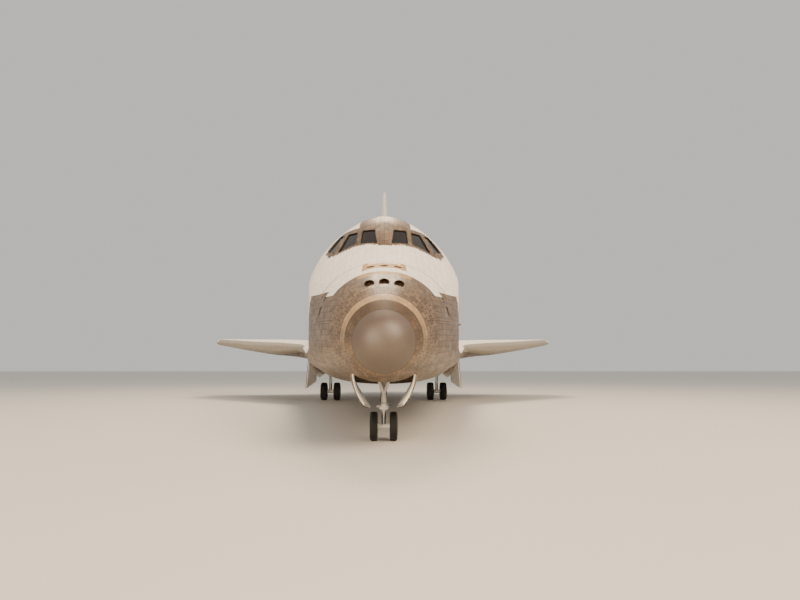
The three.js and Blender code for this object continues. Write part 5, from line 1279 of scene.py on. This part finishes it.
aftBody = loftPiece("aftFuselage", hullRings(aftAt, aftPlaces), forwardTiles)
cavity = np.concatenate([np.linspace(27.46, 29.0, 8), np.linspace(29.1, 29.4, 6), np.linspace(29.6, 32.74, 12)])
cut(aftBody, loftPiece("tool", hullRings(aftAt, cavity, 0.16), forwardTiles), *map(domeInner, engines))
for key in engines:
    join(aftBody, cut(domeOuter(key), domeInner(key)))
room = shieldShape["room"]
cone = [[0, 0], [room, room * math.tan(math.radians(shieldShape["opening"]))], [room, 0]]
for key, (gimbal, axis, radius) in engines.items():
    cut(aftBody, domeInner(key), lathePiece("tool", cone, gimbal, axis, forwardTiles, 72))
for gimbal, axis, radius in engines.values():  # an ear on each side of the gimbal
    for side in (-1, 1):
        near, far = sorted([gimbal[0] + side * (0.15 + hair), gimbal[0] + side * (0.27 + hair)])
        join(aftBody, block([near, 27.3, gimbal[2] - 0.13], [far, gimbal[1] + 0.11, gimbal[2] + 0.13], gearMetal))
flapLine = [np.array([side * flapShape["half"], flapShape["aft"], flapShape["height"]]) for side in (-1, 1)]
coveEnds = [[x, flapShape["aft"], flapShape["height"]] for x in (-3.4, 3.4)]
cut(aftBody, rod(*coveEnds, flapShape["radius"] + flapShape["run"], forwardTiles, sides=64))
flapMiddles = [mix(flapLine[0], flapLine[1], (i + 0.5) / 3) for i in range(3)]
for middle in flapMiddles:
    web = np.array([0, -flapShape["radius"] - 0.12, 0])
    join(aftBody, fixedBoss(middle, crossways, flapShape["radius"], web, forwardTiles))


def onDome(p, n):
    # the domes' rims are felt, not tiles
    away = [np.linalg.norm(np.stack(p, -1) - gimbal, axis=1) - radius
            for gimbal, axis, radius in engines.values()]
    return (p[1] > shieldShape["rim"]) & (np.min(away, axis=0) < shieldShape["felt"])


paint(aftBody, darkTiles, lambda p, n: (n[1] > 0.9) & (p[1] > 32.8))
paint(aftBody, feltBlanket, onDome)
settle(aftBody, "airframe", "aft_fuselage")

left, low, radius = -flapShape["half"], flapShape["height"] - 0.04, flapShape["radius"]
flapEnd = flapShape["aft"] + flapShape["chord"]
flapOutline = [[left, flapShape["aft"], flapShape["height"] + radius], [left, flapEnd, low + flapShape["tip"]],
               [left, flapEnd, low], [left, flapShape["aft"], flapShape["height"] - radius]]
flap = join(plank(flapOutline, [-2 * left, 0, 0], darkTiles, "bodyFlap"),
            rod(*flapLine, radius, darkTiles, sides=64))
for middle in flapMiddles:
    cut(flap, rodAcross(middle, crossways * (elevonShape["boss"] / 2 + hair), radius + 0.01, darkTiles, 64))
settle(flap, "body_flap", "body_flap")
print("aft fuselage made")

# The fin: flat sides behind a round nose, cut square to the split rudder's hinge line
finShape = {"root": 2.45, "tip": 10.566, "base": 2.54, "rootFront": 26.46, "start": 27.24, "nose": 0.045,
            "noseRun": 0.11, "backAft": 33.28, "backRise": 0.4932}
rudderShape = {"lowZ": 5.45, "highZ": 10.15, "lowAft": 32.463, "sweep": 0.6957, "lowHalf": 0.316,
               "highHalf": 0.165, "tail": 0.026, "swing": 76.4, "run": 0.012, "split": 0.003, "endGap": 0.02,
               "shaft": 0.062, "actuator": 0.12, "actuatorLength": 0.26}
hingeLow = np.array([0, rudderShape["lowAft"], rudderShape["lowZ"]])
hingeHigh = hingeLow + np.array([0, rudderShape["sweep"], 1]) * (rudderShape["highZ"] - rudderShape["lowZ"])
hingeWay = unit(hingeHigh - hingeLow)
squareAft = np.array([0, hingeWay[2], -hingeWay[1]])


def finRings(heights, narrow=1.0):
    z = np.asarray(heights, float)[:, None]
    narrow = np.broadcast_to(narrow, z[:, 0].shape)[:, None]
    front = np.maximum(finShape["rootFront"] + z - finShape["base"], finShape["start"])
    hinge = rudderShape["lowAft"] + (z - rudderShape["lowZ"]) * rudderShape["sweep"]
    half = mix(rudderShape["lowHalf"], rudderShape["highHalf"], (z - rudderShape["lowZ"]) / 4.7)
    back = finShape["backAft"] + (z - finShape["base"]) * finShape["backRise"]
    turn = np.linspace(0, np.pi / 2, 9)[None]
    nose, tail = finShape["nose"] * np.sin(turn) + 0 * z, rudderShape["tail"] + 0 * z
    x = np.concatenate([nose, half * 0.97, half, tail], 1) * narrow
    y = np.concatenate([front + finShape["noseRun"] * (1 - np.cos(turn)), hinge - 0.35, hinge, back], 1)
    side = np.stack([x, y, np.broadcast_to(z, x.shape)], -1)
    return np.concatenate([side, side[:, :0:-1] * [-1, 1, 1]], 1)


def finSkin(name):
    heights = [finShape["root"], 3.32, rudderShape["lowZ"], rudderShape["highZ"], finShape["tip"] - 0.06]
    tips = finRings(finShape["tip"] - np.array([0.03, 0.012, 0.0]), [0.9, 0.75, 0.55])
    return loftPiece(name, np.concatenate([finRings(heights), tips]), feltBlanket)


def rudderSlab(lowFront, highFront, grow):
    # a slab with ends square to the hinge line, from two distances aft of it
    low, high = hingeLow - hingeWay * grow, hingeHigh + hingeWay * grow
    outline = [low + squareAft * lowFront, low + squareAft * 4, high + squareAft * 4,
               high + squareAft * highFront]
    return plank(np.array(outline) - crossways * 1.2, crossways * 2.4, feltBlanket)


def finEnd(half):
    # the fin ends where a brake panel of this half thickness swings past
    return -half * math.sin(math.radians(rudderShape["swing"])) - rudderShape["run"]


chuteShape = {"front": (0, 31.3, 2.9), "back": (0, 33.05, 3.43), "radius": 0.24, "endRadius": 0.31,
              "notch": 0.015, "door": 0.25}
chuteEnd = np.array(chuteShape["back"])
chuteWay = unit(chuteEnd - chuteShape["front"])


def chuteRod(grow):
    return rod(chuteShape["front"], chuteEnd, chuteShape["radius"] + grow, feltBlanket,
               chuteShape["endRadius"] + grow, 56)


def upperRoom():
    # the room that the upper engine's bell swings through
    gimbal, room = engines["upper"][0], [[1.4, 0], [1.4, 0.6], [2.4, 0.83], [3.3, 1.06], [4.4, 1.27], [4.4, 0]]
    return join(*(lathePiece("tool", room, gimbal, engineAxis(16 + by), feltBlanket, 64)
                  for by in (-10.5, 0, 10.5)))


fin = cut(finSkin("fin"), rudderSlab(finEnd(rudderShape["lowHalf"]), finEnd(rudderShape["highHalf"]), 0),
          rod(chuteEnd, chuteEnd + chuteWay * 1.3, chuteShape["endRadius"] + chuteShape["notch"], feltBlanket,
              0.42, 56))
join(fin, chuteRod(0), rod(chuteEnd - chuteWay * 0.02, chuteEnd + chuteWay * 0.015, chuteShape["door"],
                           feltBlanket, chuteShape["door"] - 0.01, 56))
cut(fin, aftSolid(), domeOuter("upper", 0.003), upperRoom())
paint(fin, carbon, lambda p, n: n[1] < -0.45)
settle(fin, "airframe", "fin")

gap = rudderShape["split"]
panel = keep(finSkin("brakePanel"), rudderSlab(gap, gap, -rudderShape["endGap"]),
             block([gap, 0, 0], [1.5, 50, 20], feltBlanket))
cut(panel, rod(hingeLow, hingeHigh, rudderShape["shaft"] + 0.008, feltBlanket, sides=40))
for share in (1 / 6, 0.5, 5 / 6):
    cut(panel, rodAcross(mix(hingeLow, hingeHigh, share), hingeWay * (rudderShape["actuatorLength"] / 2 + hair),
                         rudderShape["actuator"] + 0.02, feltBlanket, 48))
paint(panel, linerPaint, lambda p, n: p[0] < gap + 0.001)
settlePair(panel, "brake_panel_port", "brake_panel_port")

# The engine pods: squared ellipses over the aft fuselage, with a thruster block beside each tail. Rows: aft,
# middle x and z, half width and half height.
podShape = {"squareness": 0.8, "start": 27.3, "length": 6.2, "rings": 70, "sides": 96}
podAt = through(np.array([
    [27.3, 1.9, 1.68, 0, 0], [27.7, 1.92, 1.76, 0.52, 0.44], [28.7, 1.97, 1.9, 1.04, 0.93],
    [30.1, 2.02, 2.06, 1.33, 1.4], [31.4, 2.05, 2.16, 1.42, 1.6], [32.3, 2.06, 2.18, 1.4, 1.59],
    [33.0, 2.08, 2.19, 1.34, 1.5], [33.5, 2.1, 2.2, 1.24, 1.37]]), start=podShape["start"])
podEngine = {"gimbal": np.array([2.235, 32.56, 2.34]), "axis": engineAxis(15.8)}


def squared(wave):
    return np.sign(wave) * np.abs(wave)**podShape["squareness"]


podPlaces = podShape["start"] + podShape["length"] * np.linspace(0.002, 1, podShape["rings"])**2
middleX, middleZ, halfX, halfZ = podAt(podPlaces).T[:, :, None]
turn = np.linspace(0, 2 * np.pi, podShape["sides"], endpoint=False)[None]
podX = middleX + halfX * squared(np.cos(turn))
podZ = middleZ + halfZ * squared(np.sin(turn))
podRings = np.stack([podX, np.broadcast_to(podPlaces[:, None], podX.shape), podZ], -1)
pod = join(loftPiece("enginePod", podRings, feltBlanket),
           block([2.75, 32.7, 1.62], [3.42, 33.8, 2.76], feltBlanket))
cut(pod, rod(podEngine["gimbal"] - podEngine["axis"] * 0.26, podEngine["gimbal"] + podEngine["axis"] * 1.5, 0.43,
             feltBlanket, 0.64, 64))
for side in (-1, 1):
    near, far = sorted([2.235 + side * (0.08 + hair), 2.235 + side * (0.17 + hair)])
    join(pod, block([near, 32.14, 2.26], [far, 32.63, 2.42], gearMetal))
podThrusters = [((3.42, 33.0 + 0.27 * i, z), (1, 0, 0), 0.1) for z in (1.9, 2.35) for i in range(3)]
podThrusters += [((2.98, 33.8, 1.95), (0, 1, 0), 0.11), ((2.98, 33.8, 2.4), (0, 1, 0), 0.11),
                 ((3.25, 33.8, 2.18), (0, 1, 0), 0.05)]
for mouth, facing, radius in podThrusters:
    mouth, facing = np.array(mouth), np.array(facing, float)
    cut(pod, rod(mouth - facing * 0.2, mouth + facing * 0.05, radius * 0.45, darkMetal, radius * 1.1, 32))
finTool = finSkin("tool")
finTool.data.transform(Matrix.Translation((hair, 0, 0)))
cut(pod, aftSolid(), domeOuter("upper", 0.003), upperRoom(), finTool, chuteRod(0.001))
largestPart(pod)


def inPodRecess(p, n):
    # the round recess that the pod's engine stands in
    away = np.linalg.norm(np.cross(np.stack(p, -1) - podEngine["gimbal"], podEngine["axis"]), axis=1)
    return (away < 0.66) & (p[1] > 32.2) & (p[0] < 2.9)


paint(pod, darkTiles, inPodRecess)
settlePair(pod, "airframe", "engine_pod_port")
for number, (mouth, facing, radius) in enumerate(podThrusters):
    lined = [[-0.197, 0], [-0.197, radius * 0.44], [-0.006, radius * 1.0], [-0.006, radius * 0.93],
             [-0.17, radius * 0.36], [-0.18, 0]]
    nozzle = lathePiece(f"podThruster{number + 1}", lined, mouth, facing, darkMetal, 32)
    settlePair(nozzle, "airframe")
print("fin and pods made")

# The engines: bells that flare as a power of the distance from the throat
mainBell = {"length": 4.27, "exit": 1.165, "throat": 1.2, "throatRadius": 0.15, "wall": 0.045, "bands": 7}
podBell = {"length": 1.96, "exit": 0.547, "throat": 0.42, "throatRadius": 0.09, "wall": 0.025, "bands": 3}


def bellRadius(bell, along):
    share = np.maximum((np.asarray(along) - bell["throat"]) / (bell["length"] - bell["throat"]), 0)
    return bell["throatRadius"] + (bell["exit"] - bell["throatRadius"]) * share**0.62


def bellWalls(bell, start):
    # the outer wall from a place to the rim with bands round it, and the inner wall back to the throat
    end, wall = bell["length"], bell["wall"]
    bands = np.linspace(start + 0.12, end - 0.12, bell["bands"])
    along = np.sort(np.concatenate([np.linspace(start, end - 0.05, 24)]
                                   + [bands + by for by in (-0.032, -0.03, 0.03, 0.032)]))
    near = np.abs(along[:, None] - bands).min(1) < 0.031
    outer = np.stack([along, bellRadius(bell, along) + wall * np.where(near, 0.95, 0.6)], -1)
    lip = [[end - 0.02, bellRadius(bell, end) + wall * 0.95], [end, bellRadius(bell, end) + wall * 0.8],
           [end, bell["exit"]]]
    inner = end - (end - bell["throat"]) * np.linspace(0, 1, 33)[1:]
    inner = np.stack([inner, bellRadius(bell, inner)], -1)
    return np.concatenate([outer, lip, inner, [[bell["throat"], 0]]])


for key, (gimbal, axis, radius) in engines.items():
    def onShield(degrees, reach):
        return [reach * math.cos(math.radians(degrees)), reach * math.sin(math.radians(degrees))]

    def isShield(p, n):
        # the heat shield's skin round the powerhead, and not the bell beyond it
        place = np.stack(p, -1) - gimbal
        away, off = np.linalg.norm(place, axis=1), np.linalg.norm(np.cross(place, axis), axis=1)
        return (away < radius + 0.02) & (away > radius * 0.8) & (off > radius * math.sin(math.radians(18.4)))

    neck = float(bellRadius(mainBell, radius * 0.86)) + mainBell["wall"]
    profile = [[0, 0], [0.15, 0.12], [0.26, mainBell["exit"] * 0.42],
               [mainBell["throat"] * 0.9, mainBell["exit"] * 0.45], [radius * 0.82, neck],
               onShield(shieldShape["outer"], radius - shieldShape["thick"])]
    profile += [onShield(degrees, radius)
                for degrees in np.linspace(shieldShape["outer"], shieldShape["inner"], 12)]
    profile = np.concatenate([profile, bellWalls(mainBell, profile[-1][0] + 0.09)])
    engine = lathePiece("mainEngine" + key.capitalize(), profile, gimbal, axis, bellMetal, 120)
    join(engine, rodAcross(gimbal, crossways * 0.15, 0.1, bellMetal, 48))
    paint(engine, carbon, isShield)
    settle(engine, "main_engine_" + key, "main_engine_" + key)
profile = [[0, 0], [0.06, 0.05], [0.18, 0.15], [0.38, 0.17], [0.47, 0.19]]
engine = lathePiece("podEngine", np.concatenate([profile, bellWalls(podBell, 0.72)]), podEngine["gimbal"],
                    podEngine["axis"], darkMetal, 96)
join(engine, rodAcross(podEngine["gimbal"], crossways * 0.08, 0.06, darkMetal, 40))
settlePair(engine, "pod_engine_port", "pod_engine_port")
print("engines made")

# Two solids keep their own meshes and get a finish.
for node, finish in (("flight_deck", cabinPaint), ("rudder_actuators", gearMetal)):
    mesh = frame["nodes"][node].data
    mesh.materials.clear()
    mesh.materials.append(finish)

cameraShape = {"aft": -12.21, "height": 2.02, "up": 7.09, "yaw": 1.66, "lens": 24.85, "sensor": 36}
cameraData = bpy.data.cameras.new("camera")
cameraData.lens, cameraData.sensor_width = cameraShape["lens"], cameraShape["sensor"]
camera = bpy.data.objects.new("camera", cameraData)
camera.location = (0, shiftAft + cameraShape["aft"], cameraShape["height"])
camera.rotation_euler = (math.radians(90 + cameraShape["up"]), 0, math.radians(-cameraShape["yaw"]))
bpy.context.scene.collection.objects.link(camera)
bpy.context.scene.camera = camera

floorShape = {"half": 400.0, "colour": "#d9d4ca"}
far = floorShape["half"]
floorMesh = bpy.data.meshes.new("studioFloor")
floorMesh.from_pydata([(-far, -far, 0), (far, -far, 0), (far, far, 0), (-far, far, 0)], [], [(0, 1, 2, 3)])
floorMesh.materials.append(newFinish("paleStudioFloor", floorShape["colour"], 0.7)[0])  # smooth pale screed
studioFloor = bpy.data.objects.new("studioFloor", floorMesh)
bpy.context.scene.collection.objects.link(studioFloor)

# soft lamps: place, what they point at, size, power and colour, with a pale world round them
worldShape = {"colour": "#f1efeb", "strength": 0.75}
softLights = {"key": ((24, -46, 34), (0, -10, 4), 34, 36000, "#ffe3c0"),
              "fill": ((-26, -52, 14), (0, -10, 3), 34, 19000, "#ffe4c4"),
              "top": ((0, 10, 34), (0, -8, 0), 16, 12000, "#ffe6c6")}
world = bpy.data.worlds.new("studio")
world.use_nodes = True
background = world.node_tree.nodes["Background"].inputs
background[0].default_value = linear(worldShape["colour"])
background[1].default_value = worldShape["strength"]
bpy.context.scene.world = world
for name, (place, target, size, power, colour) in softLights.items():
    light = bpy.data.lights.new(name, "AREA")
    light.shape, light.size, light.energy = "DISK", size, power
    light.color = linear(colour)[:3]
    lamp = bpy.data.objects.new(name, light)
    lamp.location = place
    lamp.rotation_mode = "QUATERNION"
    lamp.rotation_quaternion = (Vector(target) - Vector(place)).to_track_quat("-Z", "Y")
    bpy.context.scene.collection.objects.link(lamp)
print("camera, light and floor placed")
